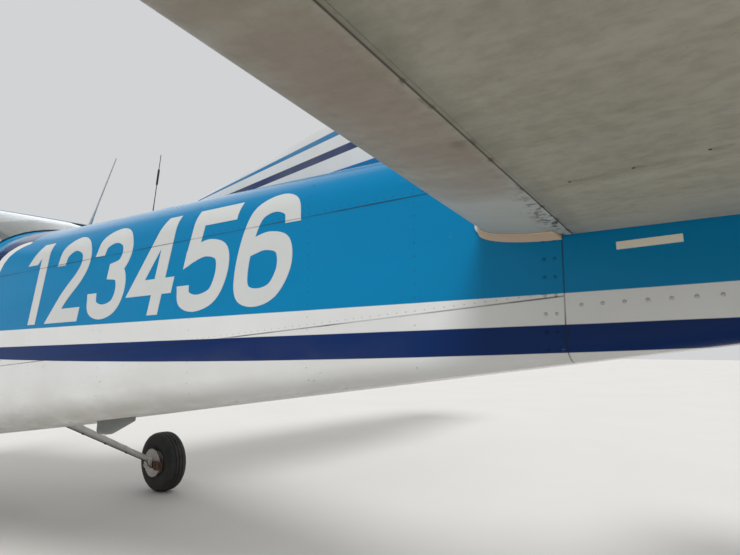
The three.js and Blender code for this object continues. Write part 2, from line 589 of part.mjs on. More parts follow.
function behindHinge(gap) {
  const under = RUDDER.hornHeight - (gap ? gap + RUDDER.hornGap : 0);
  const front = RUDDER.hornStation - gap / INCH;
  return across([[finHingeStation(1150), 1150], [finHingeStation(under), under], [front, under], [front, 2800],
    [300, 2800], [300, 1150]], -200, 200);
}
const rudderParts = hingedSurface(verticalTail, ...rudderEnds, [38, 24], behindHinge, 40, RUDDER_GAP,
  [0.1, 0.5, 0.9], [26, 80, 40]);
const DORSAL = { from: 137.5, foot: 1638, slope: 0.1825, to: 210, half: 11 };
const dorsalTop = DORSAL.foot + (DORSAL.to - DORSAL.from) * INCH * DORSAL.slope;
const dorsal = across([[DORSAL.from, 1560], [DORSAL.from, DORSAL.foot], [DORSAL.to, dorsalTop], [229.5, dorsalTop],
  [229.5, 1560]], -DORSAL.half, DORSAL.half);
const finBlock = join(common(verticalTail, box(-200, 200, at(180), at(300), 1590 + GAP, 2800)), dorsal);
const tailTop = join(tailSolid, moved(tailSolid, 0, 0, GAP), moved(tailSolid, 0, GAP, 0));
add("fin", cut(finBlock, rudderParts.bay, tailTop), "white");
add("rudder", rudderParts.surface, "white");
const TAIL_END_FRAMES = [[230.05, 72, 1164, 1590, 28, 66, 60], [243, 46, 1262, 1590, 24, 40, 30]];
add("tail_fairing", cut(body(TAIL_END_FRAMES), rudderParts.bay, moved(tubeHole, 0, 2, 0)), "white");

// Undercarriage: main legs with axles and brakes.
const axleY = at(MAIN.station);
function mainLeg() {
  const leg = bar([430, at(56.2), 652], [1146, axleY, 256], 35, 24, 14);
  const axle = bar([1140, axleY, MAIN.radius], [1346, axleY, MAIN.radius], MAIN.axle, MAIN.axle, 20);
  const foot = box(1130, 1162, axleY - 38, axleY + 38, 190, 270);
  const caliper = cut(box(1150, 1195, axleY + 60, axleY + 122, 180, 250),
    box(1171.5, 1189.5, axleY + 50, axleY + 113, 170, 260));
  const arm = box(1146, 1162, axleY - 20, axleY + 122, 190, 240);
  return cut(join(leg, axle, foot, caliper, arm), cabinSolid, moved(cabinSolid, 0, 0, -GAP));
}
addPair("main_leg", mainLeg(), "white");

// Tyre section from bead to bead with circumferential grooves.
function tyre({ radius: standing, half, rim }, x, y, segments) {
  const radius = standing / Math.cos(Math.PI / segments);
  const groove = (centre) => [[radius, centre - 5], [radius - 7, centre], [radius, centre + 5]];
  const profile = [
    [rim, -half * 0.62], [rim + 14, -half * 0.8], [mix(rim, radius, 0.5), -half], [radius - 26, -half * 0.93],
    [radius - 8, -half * 0.66], ...groove(-half * 0.36), ...groove(half * 0.0), ...groove(half * 0.36),
    [radius - 8, half * 0.66], [radius - 26, half * 0.93], [mix(rim, radius, 0.5), half],
    [rim + 14, half * 0.8], [rim, half * 0.62],
  ];
  return turned([...profile, profile[0]], x, y, standing, segments);
}

function hub({ radius, half, rim, axle }, x, y, disc) {
  const bore = axle + 0.5;
  const side = half * 0.78;
  const profile = [
    [bore, -side], [36, -side], [40, -side * 0.55], [rim - 16, -side * 0.5], [rim - 10, -side], [rim - GAP, -side],
    [rim - GAP, side], [rim - 10, side], [rim - 16, side * 0.5], [40, side * 0.55], [36, side], [bore, side],
  ];
  const wheel = turned([...profile, profile[0]], x, y, radius, WHEEL_SIDES);
  if (!disc) return wheel;
  const rotor = [[bore, -106], [38, -106], [46, -98], [105, -98], [105, -91], [60, -91], [60, -side + 2],
    [bore, -side + 2]];
  return join(wheel, turned([...rotor, rotor[0]], x, y, radius, WHEEL_SIDES));
}
addPair("main_wheel", hub(MAIN, MAIN.x, axleY, true), "alloy");
addPair("main_tyre", tyre(MAIN, MAIN.x, axleY, WHEEL_SIDES), "rubber");

// Nose leg, leaning back at the top: a fixed sleeve on the firewall, and the tube with its fork, which steers.
const noseY = at(NOSE.station);
const RAKE = 14;
const leaning = (shape) => moved(shape.rotate([-RAKE, 0, 0]), 0, noseY, NOSE.radius);
const SLEEVE = { low: 440, high: 860, closed: 40 };
const CROWN = { low: 226, high: 262 };
const COLLAR = { low: 384, high: 414, radius: 56 };
const sleeve = cut(
  join(bar([0, 0, SLEEVE.low], [0, 0, SLEEVE.high], NOSE.sleeve, NOSE.sleeve, 20)),
  bar([0, 0, SLEEVE.low - 1], [0, 0, SLEEVE.high - SLEEVE.closed], NOSE.strut + RUNNING, NOSE.strut + RUNNING, 20));
const mountLow = box(-45, 45, at(-2.6), at(FIREWALL_STATION) - GAP, 790, 830);
const mountHigh = box(-45, 45, at(0.4), at(FIREWALL_STATION) - GAP, 960, 1000);
const boreClear = leaning(bar([0, 0, SLEEVE.low - 100], [0, 0, SLEEVE.high - SLEEVE.closed], NOSE.strut + RUNNING,
  NOSE.strut + RUNNING, 20));
add("nose_sleeve", cut(join(leaning(sleeve), mountLow, mountHigh), boreClear), "white");
const forkBlade = (side) => join(
  box(side * 86 - 7, side * 86 + 7, -26, 26, -28, CROWN.low + 10),
  bar([side * 68, 0, 0], [side * 98, 0, 0], 26, 26, 16));
const noseAxle = bar([-96, 0, 0], [96, 0, 0], NOSE.axle, NOSE.axle, 16);
const LINK_REACH = 120;
const torqueLinks = join(
  box(-24, 24, 20, LINK_REACH, CROWN.low + 8, CROWN.high - 8),
  box(-20, 20, LINK_REACH - 16, LINK_REACH, CROWN.low + 8, COLLAR.high - 6),
  box(-24, 24, 30, LINK_REACH, COLLAR.low + 6, COLLAR.high - 6));
const fork = join(
  bar([0, 0, CROWN.low], [0, 0, SLEEVE.high - SLEEVE.closed - 30], NOSE.strut, NOSE.strut, 20),
  box(-93, 93, -40, 40, CROWN.low, CROWN.high), forkBlade(1), forkBlade(-1), noseAxle, torqueLinks,
  bar([0, 0, COLLAR.low], [0, 0, COLLAR.high], COLLAR.radius, COLLAR.radius, 16));
add("nose_fork", leaning(fork), "alloy");
add("nose_wheel", hub(NOSE, 0, noseY, false), "alloy");
add("nose_tyre", tyre(NOSE, 0, noseY, WHEEL_SIDES), "rubber");

// Propeller: two twisted blades and a hub, with the spinner over it.
function propeller(grow) {
  const y = at(PROPELLER_STATION);
  // Blade stations: radius, chord, thickness, pitch in degrees.
  const stations = [[60, 78, 62, 48], [180, 118, 40, 40], [400, 150, 24, 28], [700, 140, 15, 19], [900, 104, 9, 14],
    [PROPELLER_RADIUS, 60, 6, 13]];
  const ring = ([radius, chord, thick, pitch]) => Array.from({ length: 10 }, (_, i) => {
    const angle = (i / 10) * 2 * Math.PI;
    const turn = THREE.MathUtils.degToRad(pitch);
    const [u, v] = [(chord / 2 + grow) * Math.cos(angle), (thick / 2 + grow) * Math.sin(angle)];
    return new THREE.Vector3(radius, u * Math.sin(turn) + v * Math.cos(turn), u * Math.cos(turn) - v * Math.sin(turn));
  });
  const blade = loft(stations.map(ring));
  const other = blade.rotate([0, 180, 0]);
  const boss = bar([0, -BOSS / 2 - grow, 0], [0, BOSS / 2 + grow * 40, 0], BOSS_RADIUS + grow, BOSS_RADIUS + grow, 20);
  return moved(join(boss, blade, other).rotate([0, BLADE_ANGLE, 0]), 0, y, THRUST_LINE);
}
add("propeller", propeller(0), "alloy");
const spinnerBase = at(PROPELLER_STATION) + 50;
const spinnerTip = at(SPINNER_TIP_STATION);
const spinnerSteps = [[0, 1], [0.14, 0.95], [0.38, 0.75], [0.66, 0.45], [0.88, 0.16], [1, 0]];
function spinnerShape() {
  const long = spinnerBase - spinnerTip;
  const profile = spinnerSteps.map(([radius, share]) =>
    new THREE.Vector2(SPINNER_RADIUS * Math.sqrt(radius * (2 - radius)), long * share));
  const geometry = new THREE.LatheGeometry([new THREE.Vector2(0, 0), ...profile.reverse()], 20);
  geometry.rotateX(Math.PI);
  geometry.translate(0, spinnerBase, THRUST_LINE);
  const shape = solid(geometry);
  return shape.volume() < 0 ? solid(flipped(geometry)) : shape;
}
add("spinner", cut(spinnerShape(), propeller(1)), "white");

// Cabin fittings: instrument panel with control columns, two front seats and a rear bench.
const panel = join(box(-440, 440, at(14), at(17), 1180, 1480), box(-40, 40, at(12.5), at(17), 1100, 1190),
  box(-430, 430, at(10.5), at(15), 1460, 1478));
const yoke = (x) => join(bar([x, at(16.5), 1270], [x, at(24), 1270], 13, 13, 12),
  box(x - 120, x + 120, at(23.6), at(24.8), 1255, 1285), box(x - 120, x - 96, at(23.6), at(24.8), 1255, 1350),
  box(x + 96, x + 120, at(23.6), at(24.8), 1255, 1350));
const pedestal = box(-70, 70, at(12.6), at(16), FLOOR + 40, 1110);
const onFloor = (shape) => cut(shape, shell, moved(shell, 0, 0, GAP));
add("instrument_panel", onFloor(join(panel, yoke(250), yoke(-250), pedestal)), "black");
function seat(x, half, front, back, cushion, top, lean) {
  const rails = join(box(x - half + 40, x - half + 70, at(front) + 40, at(back), FLOOR + GAP, cushion - 60),
    box(x + half - 70, x + half - 40, at(front) + 40, at(back), FLOOR + GAP, cushion - 60));
  const squab = across([[front, cushion - 110], [back + 1, cushion - 110], [back + 1, cushion - 10], [front, cushion]],
    x - half, x + half, 40);
  const rest = across([[back - 3, cushion - 60], [back + 2, cushion - 60], [back + 2 + lean, top], [back - 1 + lean, top]],
    x - half, x + half, 30);
  return onFloor(join(rails, squab, rest));
}
add("front_seat_left", seat(250, 220, 27, 43, 960, 1560, 4), "seat");
add("front_seat_right", seat(-250, 220, 27, 43, 960, 1560, 4), "seat");
add("rear_bench", seat(0, 440, 58, 74, 960, 1480, 4), "seat");

// Antennas behind the cabin.
// Whip antennas: side, station of the foot, tip height, rearward lean, radius, then the loading coil's span.
const WHIPS = {
  antenna_fore: { x: 0, station: 110.2, tip: 1996, lean: 226, radius: 6, coil: [0.2, 0.21], coilRadius: 6 },
  antenna_aft: { x: -100, station: 126.1, tip: 1991, lean: 43, radius: 3, coil: [0.6, 0.8], coilRadius: 7 },
};
const WHIP_FOOT = { depth: 1560, top: 1672, radius: 20, topRadius: 11 };
const seated = (shape) => cut(shape, tailTop);
function whip({ x, station, tip, lean, radius, coil, coilRadius }) {
  const foot = [x, at(station), WHIP_FOOT.top - 6];
  const along = (share) => [x, at(station) + lean * share, mix(foot[2], tip, share)];
  return join(
    bar([x, at(station), WHIP_FOOT.depth], [x, at(station), WHIP_FOOT.top], WHIP_FOOT.radius, WHIP_FOOT.topRadius, 12),
    bar(foot, along(1), radius, radius * 0.7, 8), bar(along(coil[0]), along(coil[1]), coilRadius, coilRadius, 8));
}
add("antenna_fore", seated(whip(WHIPS.antenna_fore)), "white");
add("antenna_aft", seated(whip(WHIPS.antenna_aft)), "black");
add("belly_antenna", cut(across([[118.3, 723], [123, 728], [130.5, 800], [130.5, 900], [118.3, 900]], -16, 16, 6),
  tailSolid, moved(tailSolid, 0, 0, -GAP), moved(tailSolid, 0, GAP, 0),
  box(-50, 50, at(105), at(140), 860, 1000)), "grey");

// Small fittings: position lights on the wing tips, beacon and pitot tube.
const onWing = (shape) => cut(shape, wingSolid, moved(wingSolid, GAP, 0, 0), moved(wingSolid, 0, -GAP, 0),
  moved(wingSolid, 0, 0, -GAP));
const LIGHT = { x: 5408, radius: 24, long: 90 };
const lightSpot = wingAt(LIGHT.x, 0.04, 0);
addPair("position_light", onWing(bar([LIGHT.x - 16, lightSpot.y - 34, lightSpot.z],
  [LIGHT.x + 18, lightSpot.y - 34 + LIGHT.long, lightSpot.z], LIGHT.radius, LIGHT.radius * 0.5, 12)), "glass");
const BEACON = { station: 242, low: FIN_TOP + GAP, high: FIN_TOP + 58 };
add("fin_beacon", bar([0, at(BEACON.station), BEACON.low], [0, at(BEACON.station), BEACON.high], 19, 12, 14), "glass");
const PITOT = { x: 3250, along: 0.13, drop: 120, reach: 210, radius: 8 };
const pitotSpot = wingAt(PITOT.x, PITOT.along, -0.03);
const pitotLow = pitotSpot.z - PITOT.drop;
add("pitot_tube", onWing(join(
  bar([PITOT.x, pitotSpot.y, pitotSpot.z], [PITOT.x, pitotSpot.y, pitotLow - PITOT.radius], 14, 10, 12),
  bar([PITOT.x, pitotSpot.y + 12, pitotLow], [PITOT.x, pitotSpot.y - PITOT.reach, pitotLow], PITOT.radius,
    PITOT.radius * 0.6, 12))), "alloy");

export default aircraft;
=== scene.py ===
"""Four-seat high-wing light aircraft, dressed around its solid frame.

Metres, +X to the aircraft's left, nose towards -Y, +Z up. Stations are inches aft of the datum.
"""
from __future__ import annotations
import logging
import math
from dataclasses import dataclass, field
from enum import Enum
from typing import Callable, Iterable, Sequence

import bpy
import numpy as np
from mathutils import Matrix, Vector


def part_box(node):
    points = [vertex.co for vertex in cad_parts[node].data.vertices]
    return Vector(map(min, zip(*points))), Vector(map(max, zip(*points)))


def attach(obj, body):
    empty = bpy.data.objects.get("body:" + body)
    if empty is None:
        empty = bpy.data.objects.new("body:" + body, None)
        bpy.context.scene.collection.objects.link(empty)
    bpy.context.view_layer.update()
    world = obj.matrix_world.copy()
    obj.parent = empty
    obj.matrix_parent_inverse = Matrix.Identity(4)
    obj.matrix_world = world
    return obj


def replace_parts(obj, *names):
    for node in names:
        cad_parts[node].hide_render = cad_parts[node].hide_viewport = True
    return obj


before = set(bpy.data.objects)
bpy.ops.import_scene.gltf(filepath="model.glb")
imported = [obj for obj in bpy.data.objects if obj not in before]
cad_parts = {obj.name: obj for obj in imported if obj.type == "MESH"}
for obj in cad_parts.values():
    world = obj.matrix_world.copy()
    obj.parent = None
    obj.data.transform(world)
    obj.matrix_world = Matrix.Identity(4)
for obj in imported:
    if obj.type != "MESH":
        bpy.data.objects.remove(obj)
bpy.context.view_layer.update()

LOG = logging.getLogger("aircraft")
INCH = 0.0254
MID_STATION = 120.5
Colour = tuple[float, float, float]


def at(station: float | np.ndarray) -> float | np.ndarray:
    """Metres along the aircraft for a station in inches."""
    return (station - MID_STATION) * INCH


def tint(red: int, green: int, blue: int) -> Colour:
    """Linear colour from its display values of 0 to 255."""
    return tuple(float(v) for v in (np.array([red, green, blue]) / 255.0) ** 2.2)


class Body(str, Enum):
    """Bodies of the frame that the pieces ride on."""
    AIRFRAME = "airframe"
    PROPELLER = "propeller"
    NOSE_LEG = "nose_leg"
    NOSE_WHEEL = "nose_wheel"
    MAIN_LEFT = "main_wheel_left"
    MAIN_RIGHT = "main_wheel_right"
    DOOR_LEFT = "door_left"
    DOOR_RIGHT = "door_right"
    BAGGAGE = "baggage_door"
    FLAP_LEFT = "flap_left"
    FLAP_RIGHT = "flap_right"
    AILERON_LEFT = "aileron_left"
    AILERON_RIGHT = "aileron_right"
    ELEVATOR = "elevator"
    TAB = "trim_tab"
    RUDDER = "rudder"


class Side(Enum):
    """Left is +X."""
    LEFT = 1
    RIGHT = -1

    @property
    def word(self) -> str:
        """Suffix of this side's node names."""
        return self.name.lower()


# Shader expressions
class Value:
    """A node socket that takes part in plain arithmetic."""

    def __init__(self, bench: "Bench", socket: object) -> None:
        """Wrap one output socket."""
        self.bench, self.socket = bench, socket

    def _op(self, operation: str, first: object, second: object) -> "Value":
        """One Math node on two operands."""
        return self.bench.value("ShaderNodeMath", {"operation": operation}, {0: first, 1: second})

    def __add__(self, other: object) -> "Value":
        """Sum."""
        return self._op("ADD", self, other)

    __radd__ = __add__

    def __mul__(self, other: object) -> "Value":
        """Product."""
        return self._op("MULTIPLY", self, other)

    __rmul__ = __mul__

    def __sub__(self, other: object) -> "Value":
        """Difference."""
        return self._op("SUBTRACT", self, other)

    def __rsub__(self, other: object) -> "Value":
        """Difference, reflected."""
        return self._op("SUBTRACT", other, self)

    def __pow__(self, other: object) -> "Value":
        """Power."""
        return self._op("POWER", self, other)

    def __abs__(self) -> "Value":
        """Size without the sign."""
        return self._op("ABSOLUTE", self, 0.0)

    def least(self, other: object) -> "Value":
        """The smaller of two values."""
        return self._op("MINIMUM", self, other)

    def most(self, other: object) -> "Value":
        """The larger of two values."""
        return self._op("MAXIMUM", self, other)

    def rise(self, edge: object, width: float) -> "Value":
        """Soft step from 0 to 1 across an edge."""
        shifted = (self - edge) * (1.0 / width) + 0.5
        return self.bench.value("ShaderNodeClamp", {}, {0: shifted, 1: 0.0, 2: 1.0})

    def line(self, centre: object, width: float) -> "Value":
        """1 on a line of the given width, 0 beside it."""
        return 1.0 - abs(self - centre).rise(width * 0.5, width * 0.5)


class Bench:
    """Builds one material's nodes."""

    def __init__(self, name: str) -> None:
        """Start a material with a bare Principled shader."""
        self.material = bpy.data.materials.new(name)
        self.material.use_nodes = True
        self.tree = self.material.node_tree
        self.shader = next(n for n in self.tree.nodes if n.type == "BSDF_PRINCIPLED")
        self._place: tuple[Value, Value, Value] | None = None
        self._vector: object = None

    def node(self, kind: str, settings: dict, values: dict) -> bpy.types.Node:
        """Any node, from its type, its settings, and the values or links of its sockets."""
        made = self.tree.nodes.new(kind)
        for key, setting in settings.items():
            setattr(made, key, setting)
        for key, value in values.items():
            self.feed(made.inputs[key], value)
        return made

    def value(self, kind: str, settings: dict, values: dict, out: int | str = 0) -> Value:
        """The wrapped output of a new node."""
        return Value(self, self.node(kind, settings, values).outputs[out])

    def feed(self, socket: bpy.types.NodeSocket, value: object) -> None:
        """Link a wrapped socket or set a plain value."""
        if isinstance(value, Value):
            self.tree.links.new(value.socket, socket)
        elif isinstance(value, (tuple, list)) and len(value) == 3 and socket.type == "RGBA":
            socket.default_value = (*value, 1.0)
        else:
            socket.default_value = value

    @property
    def vector(self) -> Value:
        """Object coordinates."""
        if self._vector is None:
            self._vector = self.value("ShaderNodeTexCoord", {}, {}, "Object")
        return self._vector

    @property
    def place(self) -> tuple[Value, Value, Value]:
        """The x, y and z of the object coordinates."""
        if self._place is None:
            split = self.node("ShaderNodeSeparateXYZ", {}, {0: self.vector})
            self._place = tuple(Value(self, split.outputs[i]) for i in range(3))
        return self._place

    def stretched(self, scale: Colour) -> Value:
        """Object coordinates scaled along each axis."""
        return self.value("ShaderNodeMapping", {}, {"Vector": self.vector, "Scale": scale})

    def noise(self, scale: float, detail: float = 3.0, vector: Value | None = None,
              rough: float = 0.55) -> Value:
        """Fractal noise of 0 to 1."""
        return self.value("ShaderNodeTexNoise", {},
                          {"Vector": vector or self.vector, "Scale": scale, "Detail": detail,
                           "Roughness": rough})

    def mix(self, mask: object, first: object, second: object) -> Value:
        """Colour blend from first to second."""
        return self.value("ShaderNodeMix", {"data_type": "RGBA"}, {0: mask, 6: first, 7: second}, 2)

    def bump(self, height: Value, distance: float, strength: float = 1.0,
             under: Value | None = None) -> Value:
        """Normal bent by a height field in metres."""
        values: dict = {"Height": height, "Distance": distance, "Strength": strength}
        if under is not None:
            values["Normal"] = under
        return self.value("ShaderNodeBump", {}, values)

    def finish(self, **sockets: object) -> bpy.types.Material:
        """Set the shader's sockets by their plain names and hand over the material."""
        for key, value in sockets.items():
            self.feed(self.shader.inputs[key.replace("_", " ").title().replace("Ior", "IOR")], value)
        return self.material


# Finishes
@dataclass(frozen=True)
class Finish:
    """Name of a material and its slot in the frame."""
    name: str
    slot: str

    def build(self) -> bpy.types.Material:
        """Make the material."""
        raise NotImplementedError


@dataclass(frozen=True)
class Paint(Finish):
    """Gloss paint with dust, faint orange peel and patches of dirt."""
    colour: Colour
    dirt: Colour = tint(120, 108, 92)
    soiling: float = 0.35
    gloss: float = 0.32

    def build(self) -> bpy.types.Material:
        """Make the material."""
        b = Bench(self.name)
        cloud = b.noise(2.3, 4.0)
        streak = b.noise(1.6, 4.0, b.stretched((9.0, 1.2, 9.0)))
        dust = (streak * cloud).rise(0.33, 0.4)
        base = b.mix(dust * self.soiling, self.colour, self.dirt)
        peel = b.noise(420.0, 1.0)
        return b.finish(base_color=base, roughness=dust * 0.25 + self.gloss, coat_weight=0.35,
                        coat_roughness=0.12,
                        normal=b.bump(peel, 0.0004, 0.12))


def seams(b: Bench) -> Value:
    """Dirt in the skin laps of the tail cone: two lines along it and one round its last frame.

    The upper lap is z = 1.436 + 0.0312 (y - y155.4), the lower one z = 1.028 + 0.0791 (y - y115.1), and the
    frame stands at station 203.35.
    """
    _, y, z = b.place
    aft = y.rise(at(108.2), 0.004)
    upper = z.line((y - at(155.4)) * 0.0312 + 1.436, 0.0034)
    lower = z.line((y - at(115.1)) * 0.0791 + 1.028, 0.0034) * (1.0 - y.rise(at(203.3), 0.004))
    upright = y.line(at(203.35), 0.0030)
    return (upper + lower + upright).least(1.0) * aft * b.noise(5.0, 3.0).rise(0.42, 0.4)


@dataclass(frozen=True)
class Livery(Finish):
    """Fuselage paint: blue above a white band, a navy stripe and a white belly, with grime and seam dirt; a
    darker copy of it carries painted shade for the rivet heads.
    """
    # Share of painted shade laid over all of the paint; the rivet heads use a darker copy so each reads as a
    # shaded dome.
    painted_shade: float = 0.0

    def build(self) -> bpy.types.Material:
        """Make the material; every stripe edge is a line or a curve of height over length."""
        b = Bench(self.name)
        _, y, z = b.place
        waver = (b.noise(6.0, 2.0) - 0.5) * 0.0012
        tall = z + waver
        edge_blue = (y - at(114.2)) * 0.0172 + 1.172
        edge_navy = (y - at(114.6)) * 0.01925 + 1.104
        aft = (y - at(115.0)).most(-0.4)
        edge_belly = aft * aft * 0.01011 + aft * -0.00625 + 1.054
        cloud = b.noise(3.1, 5.0)
        fade = b.noise(1.3, 3.0, b.stretched((3.0, 0.8, 3.0)))
        blue = b.mix(fade, tint(0, 104, 148), tint(0, 120, 166))
        navy = b.mix(cloud * 0.5, tint(0, 38, 84), tint(0, 44, 92))
        white = b.mix(cloud.rise(0.55, 0.5) * 0.5, tint(204, 205, 204), tint(184, 184, 180))
        paint = b.mix(tall.rise(edge_belly, 0.0016), white, navy)
        paint = b.mix(tall.rise(edge_navy, 0.0016), paint, white)
        # Ahead of the figures the white band sweeps up to the rear window, with navy ahead of it.
        way = (y - at(112.4)).most(-0.26).least(0.17)
        sweep = way * 1.02 - way * way * 3.0 + 1.449
        half = (0.028 - way * 0.13).most(0.004)
        upper = b.mix(tall.rise(sweep + 0.12, 0.0016), tint(0, 38, 84), blue)
        upper = b.mix(tall.rise(sweep + half, 0.0016), white, upper)
        upper = b.mix(tall.rise(sweep - half, 0.0016), blue, upper)
        upper = b.mix(y.rise(at(119.2), 0.002), upper, blue)
        paint = b.mix(tall.rise(edge_blue, 0.0016), paint, upper)
        # Grime: a brown film along the belly and dark dirt in the lap seams.
        low = (y - at(108.0)).most(0.0) * 0.129 + 0.74
        film = b.noise(6.0, 5.0, b.stretched((2.5, 1.0, 2.5)))
        grime = (1.0 - tall.rise(low + 0.09, 0.2)) * film.rise(0.42, 0.35) * (1.0 - y.rise(at(170.0), 1.2))
        paint = b.mix(grime * 0.4, paint, tint(140, 128, 108))
        chips = b.noise(46.0, 3.0, b.stretched((1.0, 0.3, 1.0))).rise(0.74, 0.03) * 0.35
        paint = b.mix(chips, paint, tint(92, 112, 124))
        # Seam dirt, and painted shade over all of the paint in the darker copy used for the rivet heads.
        paint = b.mix(seams(b) * 0.8 + self.painted_shade, paint, tint(34, 32, 30))
        rough = grime * 0.4 + cloud * 0.08 + 0.17
        return b.finish(base_color=paint, roughness=rough, specular_ior_level=0.12, coat_weight=0.02,
                        coat_roughness=0.06,
                        normal=b.bump(b.noise(14.0, 2.0), 0.003, 0.1,
                                      b.bump(b.noise(360.0, 1.0), 0.0004, 0.06)))


@dataclass(frozen=True)
class Marking(Finish):
    """Grey-white paint of the figures, with the skin laps showing through."""

    def build(self) -> bpy.types.Material:
        """Make the material."""
        b = Bench(self.name)
        cloud = b.noise(5.0, 4.0)
        base = b.mix(cloud, tint(190, 192, 190), tint(180, 182, 180))
        base = b.mix(seams(b) * 0.75, base, tint(40, 38, 36))
        return b.finish(base_color=base, roughness=cloud * 0.1 + 0.3, coat_weight=0.1, coat_roughness=0.08,
                        normal=b.bump(b.noise(360.0, 1.0), 0.0004, 0.06))


@dataclass(frozen=True)
class FinLivery(Finish):
    """White fin with blue bands that leave the spine and sweep up towards the tip."""

    def build(self) -> bpy.types.Material:
        """Each band edge is a line of height over length that bends upwards aft of the dorsal fillet."""
        b = Bench(self.name)
        _, y, z = b.place
        bend = (y - 1.5).most(0.0)
        lift = bend * bend * 0.34

        def edge(length: float, height: float, slope: float, more: float = 0.0) -> Value:
            """Height of one band edge."""
            return (y - length) * slope + lift * (1.0 + more) + height

        cloud = b.noise(4.0, 4.0)
        bands = (
            (edge(1.172, 1.632, 0.0544, -0.18), tint(198, 200, 200)),
            (edge(0.870, 1.643, 0.0955, -0.08), tint(0, 40, 84)),
            (edge(0.869, 1.665, 0.1004, 0.0), tint(198, 200, 200)),
            (edge(0.868, 1.694, 0.122, 0.06), tint(0, 104, 150)),
            (edge(0.867, 1.703, 0.1414, 0.12), tint(194, 196, 196)),
        )
        paint = tint(0, 98, 150)
        for line, colour in bands:
            paint = b.mix(z.rise(line, 0.0016), paint, b.mix(cloud * 0.15, colour, tint(150, 154, 156)))
        dust = b.noise(1.8, 4.0, b.stretched((6.0, 2.0, 1.0))).rise(0.6, 0.3)
        paint = b.mix(dust * 0.2, paint, tint(150, 140, 124))
        return b.finish(base_color=paint, roughness=cloud * 0.12 + 0.28, specular_ior_level=0.2,
                        coat_weight=0.05,
                        normal=b.bump(b.noise(360.0, 1.0), 0.0004, 0.1))


@dataclass(frozen=True)
class WornUnderside(Finish):
    """Old tailplane paint: greenish beige dust with aft streaks, pinkish stains ahead of the skin seam and
    black specks that run from the seam and the drain holes.
    """

    def build(self) -> bpy.types.Material:
        """The seam is a swept line; the stains, film and specks are placed by their distance from it."""
        b = Bench(self.name)
        x, y, z = b.place
        out = abs(x)
        seam = (out - 0.344) * 0.134 + at(205.4)
        ahead = seam - y
        under = 1.0 - z.rise(1.372, 0.02)
        film = b.noise(5.0, 6.0, b.stretched((4.2, 1.0, 4.0)))
        cloud = b.noise(3.2, 4.0)
        base = b.mix(film.rise(0.5, 0.5), tint(158, 155, 141), tint(136, 133, 117))
        base = b.mix(cloud.rise(0.58, 0.3) * 0.4, base, tint(118, 115, 100))
        mottle = b.noise(42.0, 6.0, b.stretched((1.5, 1.0, 1.5)), 0.62)
        base = b.mix(mottle.rise(0.56, 0.12) * 0.18, base, tint(98, 94, 80))
        base = b.mix((1.0 - mottle.rise(0.44, 0.12)) * 0.12, base, tint(178, 174, 160))
        # The root end stays cleaner, and lighter ahead of the seam.
        clean = (1.0 - out.rise(0.42 + 0.10, 0.20)) * ahead.rise(-0.01, 0.03)
        base = b.mix(clean * 0.85, base, tint(170, 174, 170))
        base = b.mix((1.0 - out.rise(0.2, 0.14)) * 0.5, base, tint(164, 166, 158))
        # Pinkish brown stain ahead of the seam, strongest against it.
        patch = b.noise(2.6, 4.0, b.stretched((3.0, 1.0, 3.0))).rise(0.40, 0.25)
        stain = ahead.rise(0.005, 0.02) * (1.0 - ahead.rise(0.15, 0.12)) * patch * out.rise(0.46, 0.06)
        base = b.mix(stain * 0.6, base, tint(124, 106, 96))
        # Black specks that spread from the seam, and a soft dark film behind it.
        near = 1.0 - (ahead - 0.018).rise(0.012, 0.04)
        speck = b.noise(62.0, 5.0, b.stretched((1.0, 0.8, 1.0)), 0.68).rise(0.545, 0.05)
        root = 1.0 - out.rise(0.40, 0.2)
        base = b.mix(speck * near * ahead.rise(0.0, 0.006) * (root * 0.85 + 0.10), base, tint(58, 52, 42))
        behind = (1.0 - (0.0 - ahead).rise(0.022, 0.045)) * (0.0 - ahead).rise(0.0, 0.004)
        base = b.mix(behind * b.noise(9.0, 4.0).rise(0.36, 0.3) * 0.65, base, tint(92, 92, 76))
        knob = b.noise(26.0, 1.0).rise(0.62, 0.05)
        base = b.mix(y.line(seam, 0.0026) + y.line(seam, 0.008) * knob * 0.8, base, tint(58, 42, 34))
        # Drain holes leave a short streak that runs aft.
        for across, hole in ((0.469, at(208.7)), (0.477, at(212.1)), (0.492, at(215.6)), (0.90, at(214.0))):
            streak = out.line(across, 0.014) * y.rise(hole, 0.004) * (1.0 - y.rise(hole + 0.045, 0.06))
            base = b.mix(streak * b.noise(60.0, 2.0).rise(0.4, 0.4) * 0.4, base, tint(80, 76, 66))
        spot = (((out - 0.690) ** 2.0 + (y - at(206.6)) * (y - at(206.6))) ** 0.5)
        base = b.mix((1.0 - spot.rise(0.011, 0.012)) * 0.5, base, tint(84, 86, 66))
        top = b.mix(cloud * 0.4, tint(205, 206, 204), tint(180, 178, 170))
        base = b.mix(under, top, base)
        return b.finish(base_color=base, roughness=film * 0.3 + 0.42, coat_weight=0.1, coat_roughness=0.3,
                        normal=b.bump(b.noise(11.0, 3.0), 0.004, 0.2,
                                      b.bump(b.noise(300.0, 2.0), 0.0004, 0.2)))


@dataclass(frozen=True)
class Metal(Finish):
    """Bare or lightly soiled metal with fine brushing and optional rust."""
    colour: Colour
    rust: float = 0.0
    rough: float = 0.36
    brushed: Colour = (40.0, 40.0, 40.0)

    def build(self) -> bpy.types.Material:
        """Make the material."""
        b = Bench(self.name)
        grain = b.noise(5.0, 3.0, b.stretched(self.brushed))
        cloud = b.noise(9.0, 5.0)
        base = b.mix(cloud.rise(0.5, 0.5) * 0.5, self.colour, tuple(c * 0.55 for c in self.colour))
        red = b.mix(b.noise(60.0, 4.0), tint(112, 62, 34), tint(150, 96, 58))
        spread = b.noise(22.0, 6.0, None, 0.7).rise(0.62 - 0.2 * self.rust, 0.12) * self.rust
        base = b.mix(spread, base, red)
        return b.finish(base_color=base, metallic=1.0 - spread * 0.9,
                        roughness=grain * 0.2 + spread * 0.4 + self.rough,
                        normal=b.bump(grain, 0.0004, 0.3))


